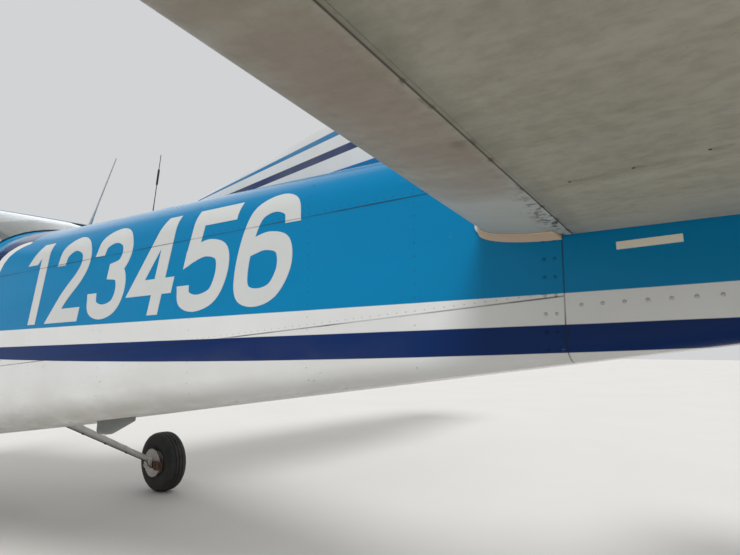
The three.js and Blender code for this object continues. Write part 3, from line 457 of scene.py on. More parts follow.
@dataclass(frozen=True)
class Rubber(Finish):
    """Dusty black rubber."""
    colour: Colour = tint(30, 30, 31)

    def build(self) -> bpy.types.Material:
        """Make the material."""
        b = Bench(self.name)
        dust = b.noise(14.0, 5.0).rise(0.55, 0.3)
        base = b.mix(dust * 0.3, self.colour, tint(88, 84, 76))
        return b.finish(base_color=base, roughness=dust * 0.15 + 0.68,
                        normal=b.bump(b.noise(260.0, 2.0), 0.0006, 0.3))


@dataclass(frozen=True)
class Clear(Finish):
    """Acrylic glazing with a slight tint and fine crazing."""
    colour: Colour = (0.80, 0.88, 0.87)

    def build(self) -> bpy.types.Material:
        """Make the material."""
        b = Bench(self.name)
        haze = b.noise(30.0, 4.0).rise(0.6, 0.3)
        return b.finish(base_color=b.mix(haze * 0.2, self.colour, (0.7, 0.75, 0.76)),
                        roughness=haze * 0.06 + 0.03,
                        transmission_weight=0.97, ior=1.06, coat_weight=0.5, coat_roughness=0.03)


@dataclass(frozen=True)
class Cloth(Finish):
    """Woven seat cloth with a fleck."""
    colour: Colour
    fleck: Colour

    def build(self) -> bpy.types.Material:
        """Weave as the product of two fine wave patterns."""
        b = Bench(self.name)
        warp = b.value("ShaderNodeTexWave", {"bands_direction": "X"}, {"Vector": b.vector, "Scale": 260.0}, 1)
        weft = b.value("ShaderNodeTexWave", {"bands_direction": "Z"}, {"Vector": b.vector, "Scale": 260.0}, 1)
        weave = warp * weft
        fleck = b.noise(90.0, 3.0).rise(0.6, 0.1)
        base = b.mix(fleck, self.colour, self.fleck)
        base = b.mix(weave * 0.3, base, tuple(c * 1.5 for c in self.colour))
        return b.finish(base_color=base, roughness=0.9, sheen_weight=0.25, normal=b.bump(weave, 0.0007, 0.6))


@dataclass(frozen=True)
class Plastic(Finish):
    """Moulded or painted trim with a leather grain."""
    colour: Colour
    rough: float = 0.6
    grain: float = 0.3

    def build(self) -> bpy.types.Material:
        """Make the material."""
        b = Bench(self.name)
        cells = b.value("ShaderNodeTexVoronoi", {}, {"Vector": b.vector, "Scale": 380.0}, "Distance")
        cloud = b.noise(7.0, 4.0)
        base = b.mix(cloud.rise(0.5, 0.5) * 0.4, self.colour, tuple(c * 0.72 for c in self.colour))
        return b.finish(base_color=base, roughness=cloud * 0.15 + self.rough,
                        normal=b.bump(cells, 0.0006, self.grain))


@dataclass(frozen=True)
class Palette:
    """All finishes by purpose."""
    hull: Livery = Livery("hull_livery", "blue_paint")
    # Rivet heads: the livery darkened all over by painted shade, so each head reads as a shaded dome.
    hull_heads_shaded: Livery = Livery("hull_rivet_heads_shaded", "blue_paint", 0.3)
    fin: FinLivery = FinLivery("fin_livery", "white_paint")
    white: Paint = Paint("wing_white", "white_paint", tint(205, 206, 204))
    wheel_white: Paint = Paint("wheel_white", "bare_alloy", tint(196, 196, 192), tint(110, 96, 78), 0.5, 0.42)
    leg: Paint = Paint("leg_paint", "leg_steel", tint(192, 190, 184), tint(116, 104, 86), 0.55, 0.36)
    marking: Marking = Marking("marking_white", "white_paint")
    placard: Paint = Paint("placard_white", "white_paint", tint(212, 206, 188),
                           tint(150, 140, 120), 0.3, 0.45)
    worn: WornUnderside = WornUnderside("worn_underside", "worn_paint")
    alloy: Metal = Metal("bare_alloy", "bare_alloy", (0.55, 0.56, 0.57))
    steel: Metal = Metal("fastener_steel", "leg_steel", (0.42, 0.42, 0.41), 0.25)
    # Brake rotor face: its pale paint is a painted highlight for the sheen of bright steel; the brown soiling
    # is rust.
    rotor: Paint = Paint("rotor_painted_sheen", "pipe_steel", tint(198, 196, 190), tint(112, 72, 52), 0.7, 0.4)
    caliper: Metal = Metal("caliper_brown", "pipe_steel", (0.16, 0.12, 0.10), 0.7, 0.5)
    pipe: Metal = Metal("exhaust_steel", "pipe_steel", (0.33, 0.30, 0.27), 0.5, 0.42)
    iron: Metal = Metal("engine_iron", "engine_iron", (0.2, 0.2, 0.21), 0.2, 0.5)
    rubber: Rubber = Rubber("tyre_rubber", "tyre_rubber")
    seal: Rubber = Rubber("window_seal", "black_trim", tint(20, 20, 22))
    clear: Clear = Clear("clear_acrylic", "clear_pane")
    black: Plastic = Plastic("black_trim", "black_trim", tint(26, 27, 29))
    tan: Plastic = Plastic("tan_fairing", "tan_trim", tint(206, 178, 150), 0.55, 0.12)
    blade_grey: Plastic = Plastic("aerial_grey", "worn_paint", tint(120, 124, 124), 0.5, 0.1)
    cloth: Cloth = Cloth("seat_cloth", "seat_cloth", tint(84, 92, 104), tint(60, 66, 78))
    lining: Plastic = Plastic("cabin_lining", "tan_trim", tint(176, 170, 158), 0.7, 0.25)
    piping: Plastic = Plastic("seat_piping", "black_trim", tint(34, 36, 42), 0.7, 0.2)
    red_lens: Clear = Clear("red_lens", "clear_pane", (0.85, 0.04, 0.03))
    green_lens: Clear = Clear("green_lens", "clear_pane", (0.03, 0.6, 0.2))
    dial: Plastic = Plastic("dial_face", "black_trim", tint(14, 14, 15), 0.35, 0.0)
    prop: Paint = Paint("propeller_grey", "bare_alloy", tint(92, 94, 98), tint(130, 128, 120), 0.3, 0.4)
    needle: Plastic = Plastic("dial_marks", "white_paint", tint(225, 225, 220), 0.5, 0.0)


PALETTE = Palette()
_MADE: dict[str, bpy.types.Material] = {}


def material_of(finish: Finish) -> bpy.types.Material:
    """The finish's material, made once."""
    if finish.name not in _MADE:
        _MADE[finish.name] = finish.build()
    return _MADE[finish.name]


# Meshes
Path = np.ndarray
Shape = tuple[np.ndarray, list[list[int]]]


def placed(name: str, data: bpy.types.ID) -> bpy.types.Object:
    """A new object in the scene."""
    made = bpy.data.objects.new(name, data)
    bpy.context.scene.collection.objects.link(made)
    return made


def baked(made: bpy.types.Object) -> bpy.types.Mesh:
    """A piece's mesh with its modifiers applied."""
    graph = bpy.context.evaluated_depsgraph_get()
    return bpy.data.meshes.new_from_object(made.evaluated_get(graph), depsgraph=graph)


def vectors(items: bpy.types.bpy_prop_collection, key: str) -> np.ndarray:
    """One vector property of all the vertices or faces, (n, 3)."""
    out = np.empty(len(items) * 3)
    items.foreach_get(key, out)
    return out.reshape(-1, 3)


def smoothed(mesh: bpy.types.Mesh, angle: float | None = None) -> None:
    """Shade every face smooth, but for edges sharper than an angle in degrees."""
    mesh.polygons.foreach_set("use_smooth", np.ones(len(mesh.polygons), dtype=bool))
    if angle is not None:
        mesh.set_sharp_from_angle(angle=math.radians(angle))


def single(function: Callable[[np.ndarray], np.ndarray], place: float) -> float:
    """What a function of an array gives at one place."""
    return float(function(np.array([place]))[0])


def two_faces(along: np.ndarray, half: np.ndarray) -> np.ndarray:
    """Section ring of (along, up) pairs: forward over the top and back below."""
    return np.concatenate([np.stack([along, half], 1)[::-1], np.stack([along, -half], 1)[1:]])


def flat_back(edge: float, high: float, middle: float = 0.0) -> np.ndarray:
    """Seven (along, up) points up a flat rear edge."""
    return np.stack([np.full(7, edge), middle + high * np.linspace(-0.9, 0.9, 7)], 1)


def within(place: np.ndarray, start: float, rise: float, end: float, fall: float) -> np.ndarray:
    """0 up to the start, 1 after a rise, and back to 0 over the fall before the end."""
    return np.clip((place - start) / rise, 0, 1) * np.clip((end - place) / fall, 0, 1)


def bead(place: float, low: float, high: float, pitch: float, depth: float) -> float:
    """Depth of a row of stiffening beads at a place: a cosine's upper half, squared, from low to high."""
    return depth * max(0.0, math.cos(2 * math.pi * (place - low)
                                     / pitch)) ** 2 if low <= place <= high else 0.0


def grid_faces(rows: int, cols: int, wrap: bool = True, start: int = 0) -> list[list[int]]:
    """Quads between neighbouring rows of a grid of points.

    Args:
        rows: number of rows.
        cols: points in a row.
        wrap: whether the last point of a row joins the first.
        start: index of the grid's first point.

    Returns:
        Corner indices of each quad.
    """
    i, j = np.meshgrid(np.arange(rows - 1), np.arange(cols if wrap else cols - 1), indexing="ij")
    k = (j + 1) % cols
    return (start + np.stack([i * cols + j, i * cols + k, (i + 1) * cols + k, (i + 1) * cols + j], -1)
            .reshape(-1, 4)).tolist()


def ladder(cols: int, start: int = 0, first: bool = False) -> list[list[int]]:
    """Cap of a closed row: rungs between point i and its opposite, counted from both ends of the row.

    Args:
        cols: points in the row.
        start: index of the row's first point.
        first: whether it closes the first row, which faces the other way.
    """
    i = np.arange(cols // 2 - 1)
    faces = (np.stack([i, i + 1, cols - 2 - i, cols - 1 - i], -1) + start).tolist()
    if cols % 2:
        faces.append([start + cols // 2 - 1, start + cols // 2, start + cols // 2 + 1])
    return [f[::-1] for f in faces] if first else faces


def caps(rows: int, cols: int) -> list[list[int]]:
    """Both end caps of an open grid of closed rows."""
    return ladder(cols, 0, True) + ladder(cols, (rows - 1) * cols)


def seam(rows: int, cols: int) -> list[list[int]]:
    """Quads that join the last row of a grid to its first."""
    last = (rows - 1) * cols
    return [[last + i, last + (i + 1) % cols, (i + 1) % cols, i] for i in range(cols)]


def enclosed(points: np.ndarray, faces: Sequence[Sequence[int]]) -> float:
    """Signed volume: the sum over faces of corner . (corner x corner) / 6, fanned from each first corner."""
    total = 0.0
    for size in {len(f) for f in faces}:
        f = np.array([face for face in faces if len(face) == size])
        for k in range(1, size - 1):
            a, b, c = points[f[:, 0]], points[f[:, k]], points[f[:, k + 1]]
            total += float(np.einsum("ij,ij->i", a, np.cross(b, c)).sum()) / 6.0
    return total


@dataclass
class Soup:
    """Points and faces that gather into one mesh."""
    points: list[np.ndarray] = field(default_factory=list)
    faces: list[list[int]] = field(default_factory=list)
    count: int = 0

    def add(self, points: np.ndarray, faces: Sequence[Sequence[int]]) -> "Soup":
        """Add a closed shell, turned so that it faces out."""
        flat = np.asarray(points, float).reshape(-1, 3)
        ordered = faces if enclosed(flat, faces) > 0 else [list(reversed(f)) for f in faces]
        self.faces += [[v + self.count for v in f] for f in ordered]
        self.points.append(flat)
        self.count += len(flat)
        return self

    def copies(self, points: np.ndarray, faces: Sequence[Sequence[int]], places: np.ndarray,
               frames: np.ndarray) -> "Soup":
        """Add one small shape at many places.

        Args:
            points: the shape's own points, (k, 3).
            faces: its faces, all with the same number of corners.
            places: where each copy stands, (n, 3).
            frames: three axes of each copy, (n, 3, 3), one axis a row.
        """
        if len(places) == 0:
            return self
        made = np.einsum("kj,njc->nkc", points, frames) + places[:, None, :]
        corners = np.asarray(faces)[None] + (np.arange(len(places)) * len(points))[:, None, None] + self.count
        self.faces += corners.reshape(-1, corners.shape[-1]).tolist()
        self.points.append(made.reshape(-1, 3))
        self.count += made.shape[0] * made.shape[1]
        return self

    def piece(self, name: str, finish: Finish, body: Body, smooth_angle: float = 40.0) -> bpy.types.Object:
        """Make the object, smooth but for edges sharper than an angle, and let it ride on a body."""
        mesh = bpy.data.meshes.new(name)
        mesh.from_pydata(np.concatenate(self.points).tolist(), [], self.faces)
        mesh.validate()
        smoothed(mesh, smooth_angle)
        mesh.materials.append(material_of(finish))
        made = placed(name, mesh)
        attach(made, body.value)
        return made


def loft(rows: np.ndarray) -> Shape:
    """Closed skin through rows of points (m, n, 3), with a ladder cap at both ends."""
    m, n = rows.shape[:2]
    return rows.reshape(-1, 3), grid_faces(m, n) + caps(m, n)


def sleeve(outer: np.ndarray, inner: np.ndarray) -> Shape:
    """Wall between an outer and an inner skin of the same grid (m, n, 3), open through the middle."""
    m, n = outer.shape[:2]
    rows = np.concatenate([outer, inner[::-1]])
    return rows.reshape(-1, 3), grid_faces(2 * m, n) + seam(2 * m, n)


def turned(profile: Sequence[tuple[float, float]], centre: Sequence[float], axis: int = 0,
           count: int = 96) -> Shape:
    """Solid of revolution: each (radius, offset) goes round an axis through the centre.

    Args:
        profile: closed or open loop of radius and offset along the axis.
        centre: a point on the axis.
        axis: 0, 1 or 2 for x, y or z.
        count: steps round.
    """
    p = np.asarray(profile, float)
    angle = np.arange(count) / count * 2 * np.pi
    rows = np.zeros((len(p), count, 3))
    one, two = [(1, 2), (2, 0), (0, 1)][axis]
    rows[..., axis] = p[:, 1][:, None]
    rows[..., one] = p[:, 0][:, None] * np.cos(angle)
    rows[..., two] = p[:, 0][:, None] * np.sin(angle)
    rows = rows + np.asarray(centre, float)
    if np.allclose(p[0], p[-1]):
        rows = rows[:-1]
        return rows.reshape(-1, 3), grid_faces(len(rows), count) + seam(len(rows), count)
    return loft(rows)


def smooth_path(points: Sequence[Sequence[float]], count: int) -> Path:
    """Catmull-Rom curve through the points, resampled evenly by parameter."""
    p = np.asarray(points, float)
    ends = np.concatenate([[2 * p[0] - p[1]], p, [2 * p[-1] - p[-2]]])
    t = np.linspace(0, len(p) - 1 - 1e-9, count)
    k, u = t.astype(int), (t % 1)[:, None]
    a, b, c, d = (ends[k + i] for i in range(4))
    square, cube = 2 * a - 5 * b + 4 * c - d, 3 * b - a - 3 * c + d
    return 0.5 * (2 * b + (c - a) * u + square * u ** 2 + cube * u ** 3)


def swept(path: Path, section: np.ndarray, up: np.ndarray | Sequence[float], closed: bool = False,
          scale: np.ndarray | None = None) -> Shape:
    """Section carried along a path: point = path + u * side + v * up, with side = tangent x up.

    Args:
        path: (m, 3) points.
        section: (k, 2) closed outline, u across and v up.
        up: the up direction, one for all or one a point.
        closed: whether the path joins its own start.
        scale: size factor at each point.
    """
    p = np.asarray(path, float)
    m, k = len(p), len(section)
    ahead = np.roll(p, -1, 0) - np.roll(p, 1, 0) if closed else np.gradient(p, axis=0)
    ahead /= np.linalg.norm(ahead, axis=1)[:, None] + 1e-12
    lift = np.broadcast_to(np.asarray(up, float), p.shape).copy()
    lift -= (lift * ahead).sum(1)[:, None] * ahead
    lift /= np.linalg.norm(lift, axis=1)[:, None] + 1e-12
    side = np.cross(ahead, lift)
    size = (np.ones(m) if scale is None else np.asarray(scale, float))[:, None, None]
    rows = p[:, None] + size * (section[None, :, :1] * side[:, None] + section[None, :, 1:] * lift[:, None])
    return rows.reshape(-1, 3), grid_faces(m, k) + (seam(m, k) if closed else caps(m, k))


def circle(radius: float, count: int = 16, squash: float = 1.0) -> np.ndarray:
    """Round or oval section."""
    a = (np.arange(count) + 0.5) / count * 2 * np.pi
    return np.stack([radius * np.cos(a), radius * squash * np.sin(a)], 1)


def slab(width: float, height: float, edge: float = 0.0006) -> np.ndarray:
    """Flat strip section with chamfered top edges, standing on v = 0."""
    w = width / 2
    return np.array([[-w, 0], [-w, height - edge], [-w + edge, height], [w - edge, height],
                     [w, height - edge], [w, 0]])


def block(x0: float, x1: float, y0: float, y1: float, z0: float, z1: float,
          edge: float = 0.003) -> Shape:
    """Box with chamfered upright and level edges, as four rounded rectangles stacked."""
    x0, x1 = min(x0, x1), max(x0, x1)
    cx, cy = (x0 + x1) / 2, (y0 + y1) / 2
    edge = min(edge, (x1 - x0) * 0.4, (y1 - y0) * 0.4, (z1 - z0) * 0.4)
    rows = []
    for inset, z in ((edge, z0), (0.0, z0 + edge), (0.0, z1 - edge), (edge, z1)):
        hx, hy = (x1 - x0) / 2 - inset, (y1 - y0) / 2 - inset
        corner = [(hx, -hy + edge), (hx, hy - edge), (hx - edge, hy), (-hx + edge, hy), (-hx, hy - edge),
                  (-hx, -hy + edge), (-hx + edge, -hy), (hx - edge, -hy)]
        rows.append([(cx + a, cy + b, z) for a, b in corner])
    return loft(np.array(rows))


Head = tuple[np.ndarray, list[list[int]], list[list[int]]]


def dome(radius: float, height: float, sides: int = 7) -> Head:
    """Rivet head: a base ring, a shoulder ring and a small top ring, with a fan of triangles on top."""
    a = np.arange(sides) / sides * 2 * np.pi
    rings = [(1.0, -0.25), (0.86, 0.62), (0.42, 1.0)]
    p = np.concatenate([np.stack([r * radius * np.cos(a), r * radius * np.sin(a),
                                  np.full(sides, h * height)], 1)
                        for r, h in rings] + [[[0, 0, height]]])
    fan = [[2 * sides + i, 2 * sides + (i + 1) % sides, 3 * sides] for i in range(sides)]
    return p, grid_faces(3, sides), fan


RIVET = dome(0.0042, 0.0018, 9)
FLUSH = dome(0.0026, 0.00035)
BOLT = dome(0.0055, 0.004, 6)


class Rivets:
    """Rows of rivet heads that gather into one soup."""

    def __init__(self) -> None:
        """Start empty."""
        self.soup = Soup()

    def along(self, points: np.ndarray, normals: np.ndarray | Sequence[float], head: Head = FLUSH) -> None:
        """Stand a head at each point, along its normal or one normal for all."""
        if len(points) == 0:
            return
        normals = np.broadcast_to(np.asarray(normals, float), points.shape)
        n = normals / (np.linalg.norm(normals, axis=1)[:, None] + 1e-12)
        helper = np.where(np.abs(n[:, 2:3]) > 0.8, np.array([[0.0, 1.0, 0.0]]), np.array([[0.0, 0.0, 1.0]]))
        u = np.cross(helper, n)
        u /= np.linalg.norm(u, axis=1)[:, None]
        v = np.cross(n, u)
        p, quads, fan = head
        base = self.soup.count
        self.soup.copies(p, quads, points, np.stack([u, v, n], 1))
        corners = np.asarray(fan)[None] + (np.arange(len(points)) * len(p))[:, None, None] + base
        self.soup.faces += corners.reshape(-1, 3).tolist()


# Fuselage
# Frames by station in inches and millimetres: half width, belly, crown, low corner, arch reach, arch drop.
CABIN_FRAMES = np.array([
    [8, 490, 690, 1562, 120, 230, 150], [13, 506, 650, 1590, 115, 260, 170],
    [20, 524, 605, 1757, 110, 260, 190],
    [28, 530, 590, 1950, 100, 190, 150], [66, 530, 590, 1950, 100, 210, 160],
    [88, 462, 664, 1818, 105, 330, 200],
    [98, 432, 702, 1755, 105, 370, 205], [108, 402, 740, 1662, 105, 380, 205]], float)
TAIL_FRAMES = np.array([
    [108, 402, 740, 1662, 105, 380, 205], [124, 354, 795, 1640, 100, 335, 185],
    [150, 277, 886, 1632, 90, 262, 160],
    [203, 119, 1068, 1606, 50, 113, 105], [230, 74, 1160, 1596, 30, 70, 75],
    [243, 46, 1262, 1590, 24, 40, 30]], float)
COWL_FRAMES = np.array([
    [-31, 250, 985, 1400, 150, 150, 150], [-29.6, 330, 915, 1440, 170, 190, 160],
    [-25, 385, 850, 1468, 170, 230, 170],
    [-10, 440, 755, 1510, 150, 230, 165], [8, 490, 690, 1562, 120, 230, 150]], float)


@dataclass
class Hull:
    """Rounded-box body through frames of half width, belly, crown and corner sizes."""
    frames: np.ndarray
    steps: int = 12

    def sizes(self, station: np.ndarray) -> list[np.ndarray]:
        """Half width, belly, crown, low corner, arch reach and arch drop in metres at each station."""
        return [np.interp(station, self.frames[:, 0], self.frames[:, k]) / 1000.0 for k in range(1, 7)]

    def rings(self, stations: np.ndarray, inward: float = 0.0) -> np.ndarray:
        """Rings of points: four quarter ellipses joined by straight sides.

        Args:
            stations: (m,) stations.
            inward: metres that the ring is shrunk by.

        Returns:
            (m, 4 * (steps + 1), 3) points, clockwise from the top seen from the tail.
        """
        stations = np.asarray(stations, float)
        half, belly, crown, low, reach, drop = (v[:, None] for v in self.sizes(stations))
        rows = []
        for quarter, (sx, sz) in enumerate(((1, 1), (1, -1), (-1, -1), (-1, 1))):
            wide = np.maximum((reach if sz > 0 else low) - inward, 0.004)
            deep = np.maximum((drop if sz > 0 else low) - inward, 0.004)
            angle = np.pi / 2 - (quarter + np.arange(self.steps + 1) / self.steps) * np.pi / 2
            x = sx * (half - inward - wide) + wide * np.cos(angle)
            z = (crown - inward - deep if sz > 0 else belly + inward + deep) + deep * np.sin(angle)
            rows.append(np.stack([x, np.broadcast_to(at(stations)[:, None], x.shape), z], -1))
        return np.concatenate(rows, 1)

    def side(self, y: np.ndarray, z: np.ndarray) -> np.ndarray:
        """Half width of the skin at a length and a height: flat sides, elliptic above and below."""
        station = np.asarray(y) / INCH + MID_STATION
        half, belly, crown, low, reach, drop = self.sizes(station)
        up = np.clip((z - (crown - drop)) / drop, 0, 1)
        down = np.clip(((belly + low) - z) / low, 0, 1)
        return half - reach * (1 - np.sqrt(1 - up ** 2)) - low * (1 - np.sqrt(1 - down ** 2))

    def on_side(self, y: np.ndarray, z: np.ndarray, sign: int,
                proud: float = 0.0) -> tuple[np.ndarray, np.ndarray]:
        """Points on the left or right skin and the outward normals there."""
        step = 0.002
        x = self.side(y, z)
        dy = (self.side(y + step, z) - self.side(y - step, z)) / (2 * step)
        dz = (self.side(y, z + step) - self.side(y, z - step)) / (2 * step)
        normal = np.stack([np.full_like(x, sign), -dy, -dz], -1)
        normal /= np.linalg.norm(normal, axis=-1)[..., None]
        points = np.stack([sign * x, y, z], -1)
        return points + normal * proud, normal

    def hoop(self, station: float, low: float, high: float, sign: int,
             count: int) -> tuple[np.ndarray, np.ndarray]:
        """Points down one side at a station, evenly spaced in height, and their normals."""
        z = np.linspace(low, high, count)
        return self.on_side(np.full(count, at(station)), z, sign)


TAIL = Hull(TAIL_FRAMES)
CABIN = Hull(CABIN_FRAMES)
COWL = Hull(COWL_FRAMES)


def lap_section(width: float, height: float) -> np.ndarray:
    """Wedge section of a skin lap: full height at one edge, nothing at the other."""
    return np.array([[-width / 2, -0.0004], [-width / 2, height * 0.8], [-width / 2 + 0.0006, height],
                     [width / 2, 0.0001], [width / 2, -0.0004]])


@dataclass
class TailCone:
    """Tail cone skin with its laps, rivets and placard."""
    wall: float = 0.004
    lap_height: float = 0.0004
    lap_width: float = 0.014
    frames_at: tuple[float, ...] = (124.0, 142.0, 160.0, 178.0, 190.5, 203.2, 216.5)
    upper_lap: tuple[float, float] = (1.436, 0.0312)
    lower_lap: tuple[float, float] = (1.028, 0.0791)

    def skin(self) -> None:
        """Outer and inner skin as one wall."""
        stations = np.linspace(108.02, 229.95, 62)
        soup = Soup().add(*sleeve(TAIL.rings(stations), TAIL.rings(stations, self.wall)))
        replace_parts(soup.piece("tailcone_skin", PALETTE.hull, Body.AIRFRAME), "tailcone")
        stations = np.linspace(230.07, 242.95, 14)
        soup = Soup().add(*loft(TAIL.rings(stations)))
        made = soup.piece("tailcone_end", PALETTE.hull, Body.AIRFRAME)
        carve(made, [prism(self.rudder_slot(), -0.3, 0.3)])
        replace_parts(made, "tail_fairing")

    @staticmethod
    def rudder_slot() -> list[tuple[float, float]]:
        """Side-view corners of the room behind the end of the cone."""
        return [(FinShape.hinge_station(1.10) - 2.0, 1.10), (FinShape.hinge_station(1.70) - 2.0, 1.70),
                (300.0, 1.70),
                (300.0, 1.10)]

    def upper(self, y: np.ndarray) -> np.ndarray:
        """Height of the upper skin lap."""
        return self.upper_lap[0] + self.upper_lap[1] * (y - at(155.4))

    def lower(self, y: np.ndarray) -> np.ndarray:
        """Height of the lower skin lap."""
        return self.lower_lap[0] + self.lower_lap[1] * (y - at(115.1))

    def laps(self) -> None:
        """Skin laps along both sides, round the frame at the tailplane, and the rivets beside them."""
        soup, rivets = Soup(), Rivets()
        for sign in (1, -1):
            for height, span, pitch, lift in ((self.upper, (108.6, 229.0), 0.026, 0.009),
                                              (self.lower, (108.6, 203.2), 0.0245, 0.008)):
                y = np.arange(at(span[0]), at(span[1]), 0.02)
                points, normals = TAIL.on_side(y, height(y), sign)
                soup.add(*swept(points, lap_section(self.lap_width, self.lap_height) * (sign, 1), normals))
                y = np.arange(at(span[0]) + 0.01, at(span[1]), pitch)
                rivets.along(*TAIL.on_side(y, height(y) + lift, sign))
            # Domed rivets behind the last frame lap, on the level of the white band.
            y = np.arange(at(204.6), at(229.0), 0.040)
            rivets.along(*TAIL.on_side(y, 1.186 + 0.031 * (y - at(204.6)), sign), RIVET)
            for station in self.frames_at:
                _, belly, crown, low, _, drop = (float(v) for v in TAIL.sizes(np.array(station)))
                top, bottom = crown - drop * 0.55, belly + low * 0.5
                gap = 0.033 if station == 203.2 else 0.030
                count = int((top - bottom) / gap)
                height = np.linspace(bottom, top, count)
                for ahead in (0.013, 0.035) if station == 203.2 else (0.013,):
                    points, normals = TAIL.on_side(np.full(count, at(station) - ahead), height, sign)
                    rivets.along(points, normals, RIVET if station == 203.2 else FLUSH)
                if station == 203.2:
                    line, up = TAIL.hoop(station + 0.15, belly + low * 0.25, top, sign, 40)
                    soup.add(*swept(line, lap_section(self.lap_width, self.lap_height * 1.2)
                                    * (-sign, 1), up))
        soup.piece("tailcone_laps", PALETTE.hull, Body.AIRFRAME, 30.0)
        # Rivet heads in the livery copy darkened by painted shade.
        rivets.soup.piece("tailcone_rivets", PALETTE.hull_heads_shaded, Body.AIRFRAME, 60.0)

    def placards(self) -> None:
        """Blank white plate under each stabilizer."""
        soup = Soup()
        for sign in (1, -1):
            y = np.linspace(at(207.4), at(211.9), 8)
            points, normals = TAIL.on_side(y, 1.298 + 0.03 * (y - at(207.4)), sign, 0.0002)
            soup.add(*swept(points, slab(0.0155, 0.0008, 0.0002), normals))
        soup.piece("blank_placards", PALETTE.placard, Body.AIRFRAME)

    def build(self) -> None:
        """Skin, laps, rivets and plates."""
        self.skin()
        self.laps()
        self.placards()


CARVED_ANGLE = 32.0


def carve(made: bpy.types.Object, cutters: Iterable[bpy.types.Object],
          keep: bool = False) -> bpy.types.Object:
    """Cut solids out of a piece, or keep only what lies in them, and shade the result again.

    Args:
        made: the piece to change.
        cutters: solids that are used up.
        keep: keep the common part instead of the rest.
    """
    tools = list(cutters)
    for cutter in tools:
        step = made.modifiers.new("carve", "BOOLEAN")
        step.object, step.solver = cutter, "EXACT"
        step.operation = "INTERSECT" if keep else "DIFFERENCE"
    fresh = baked(made)
    made.modifiers.clear()
    old, made.data = made.data, fresh
    fresh.name = old.name
    bpy.data.meshes.remove(old)
    for cutter in tools:
        bpy.data.objects.remove(cutter)
    smoothed(fresh, CARVED_ANGLE)
    return made


def rounded(corners: Sequence[tuple[float, float]], radius: float, steps: int = 8) -> np.ndarray:
    """Outline with each corner replaced by a quadratic curve that starts and ends a radius away from it."""
    p = np.asarray(corners, float)
    out = []
    for i, corner in enumerate(p):
        before, after = p[i - 1] - corner, p[(i + 1) % len(p)] - corner
        long = np.linalg.norm(before), np.linalg.norm(after)
        r = min(radius, long[0] / 2, long[1] / 2)
        a, c = corner + before / long[0] * r, corner + after / long[1] * r
        t = np.linspace(0, 1, steps)[:, None] if r > 0 else np.zeros((1, 1))
        out.append((1 - t) ** 2 * a + 2 * t * (1 - t) * corner + t ** 2 * c)
    return np.concatenate(out)


def side_outline(corners: Sequence[tuple[float, float]], radius: float, inward: float = 0.0) -> np.ndarray:
    """Side-view outline in metres, y and z, from stations and metres of height, moved inwards and rounded."""
    p = np.array([[at(s), z] for s, z in corners])
    area = 0.5 * np.sum(p[:, 0] * np.roll(p[:, 1], -1) - np.roll(p[:, 0], -1) * p[:, 1])
    moved = []
    for i in range(len(p)):
        before = p[i] - p[i - 1]
        after = p[(i + 1) % len(p)] - p[i]
        before, after = before / np.linalg.norm(before), after / np.linalg.norm(after)
        normal = np.array([-before[1] - after[1], before[0] + after[0]]) * np.sign(area)
        moved.append(p[i] + normal * inward / (1 + before @ after))
    return rounded(moved, radius)


def prism(corners: Sequence[tuple[float, float]] | np.ndarray, x0: float, x1: float, radius: float = 0.0,
          inward: float = 0.0) -> bpy.types.Object:
    """Side-view outline carried across from x0 to x1, as a cutter."""
    ring = side_outline(corners, radius, inward)
    n = len(ring)
    points = np.concatenate([np.insert(ring, 0, x, axis=1) for x in (x0, x1)])
    faces = grid_faces(2, n) + [list(range(n))[::-1], [n + i for i in range(n)]]
    return cutter(points, faces)


def cutter(points: np.ndarray, faces: list[list[int]]) -> bpy.types.Object:
    """A bare object for carving with."""
    if enclosed(points, faces) < 0:
        faces = [f[::-1] for f in faces]
    mesh = bpy.data.meshes.new("cutter")
    mesh.from_pydata(points.tolist(), [], faces)
    return placed("cutter", mesh)


# Tail
def stroke_grid(path: np.ndarray, width: float, columns: int = 5) -> np.ndarray:
    """Flat strip (rows, columns, 2) along a flat path, its ends cut level where steep, else upright.

    What lies beyond a cut moves back to it along its own direction.
    """
    ahead = np.gradient(path, axis=0)
    ahead /= np.linalg.norm(ahead, axis=1)[:, None]
    across = np.linspace(-width / 2, width / 2, columns)
    grid = path[:, None] + across[:, None] * (ahead @ np.array([[0.0, 1.0], [-1.0, 0.0]]))[:, None]
    gone = np.concatenate([[0.0], np.cumsum(np.linalg.norm(np.diff(path, axis=0), axis=1))])
    for end, sense in ((0, 1), (-1, -1)):
        axis = 1 if abs(ahead[end, 1]) > 0.5 else 0
        near = (np.abs(gone - gone[end]) < width) & (np.abs(ahead[:, axis]) > 0.3)
        travel = (path[end, axis] - grid[near, :, axis]) / ahead[near, None, axis]
        travel = np.where(travel * sense > 0, travel, 0.0)
        travel[end] = (path[end, axis] - grid[end, :, axis]) / ahead[end, axis]
        grid[near] += travel[..., None] * ahead[near, None]
    return grid


def painted(hull: Hull, length: np.ndarray, height: np.ndarray, sign: int, lift: np.ndarray
            ) -> Shape:
    """Thin closed layer over a grid of lengths and heights on one side of a hull; its back is in the skin."""
    points, normals = hull.on_side(length, height, sign)
    return loft(np.concatenate([points + normals * lift, (points - 0.0001 * normals)[:, ::-1]], 1))


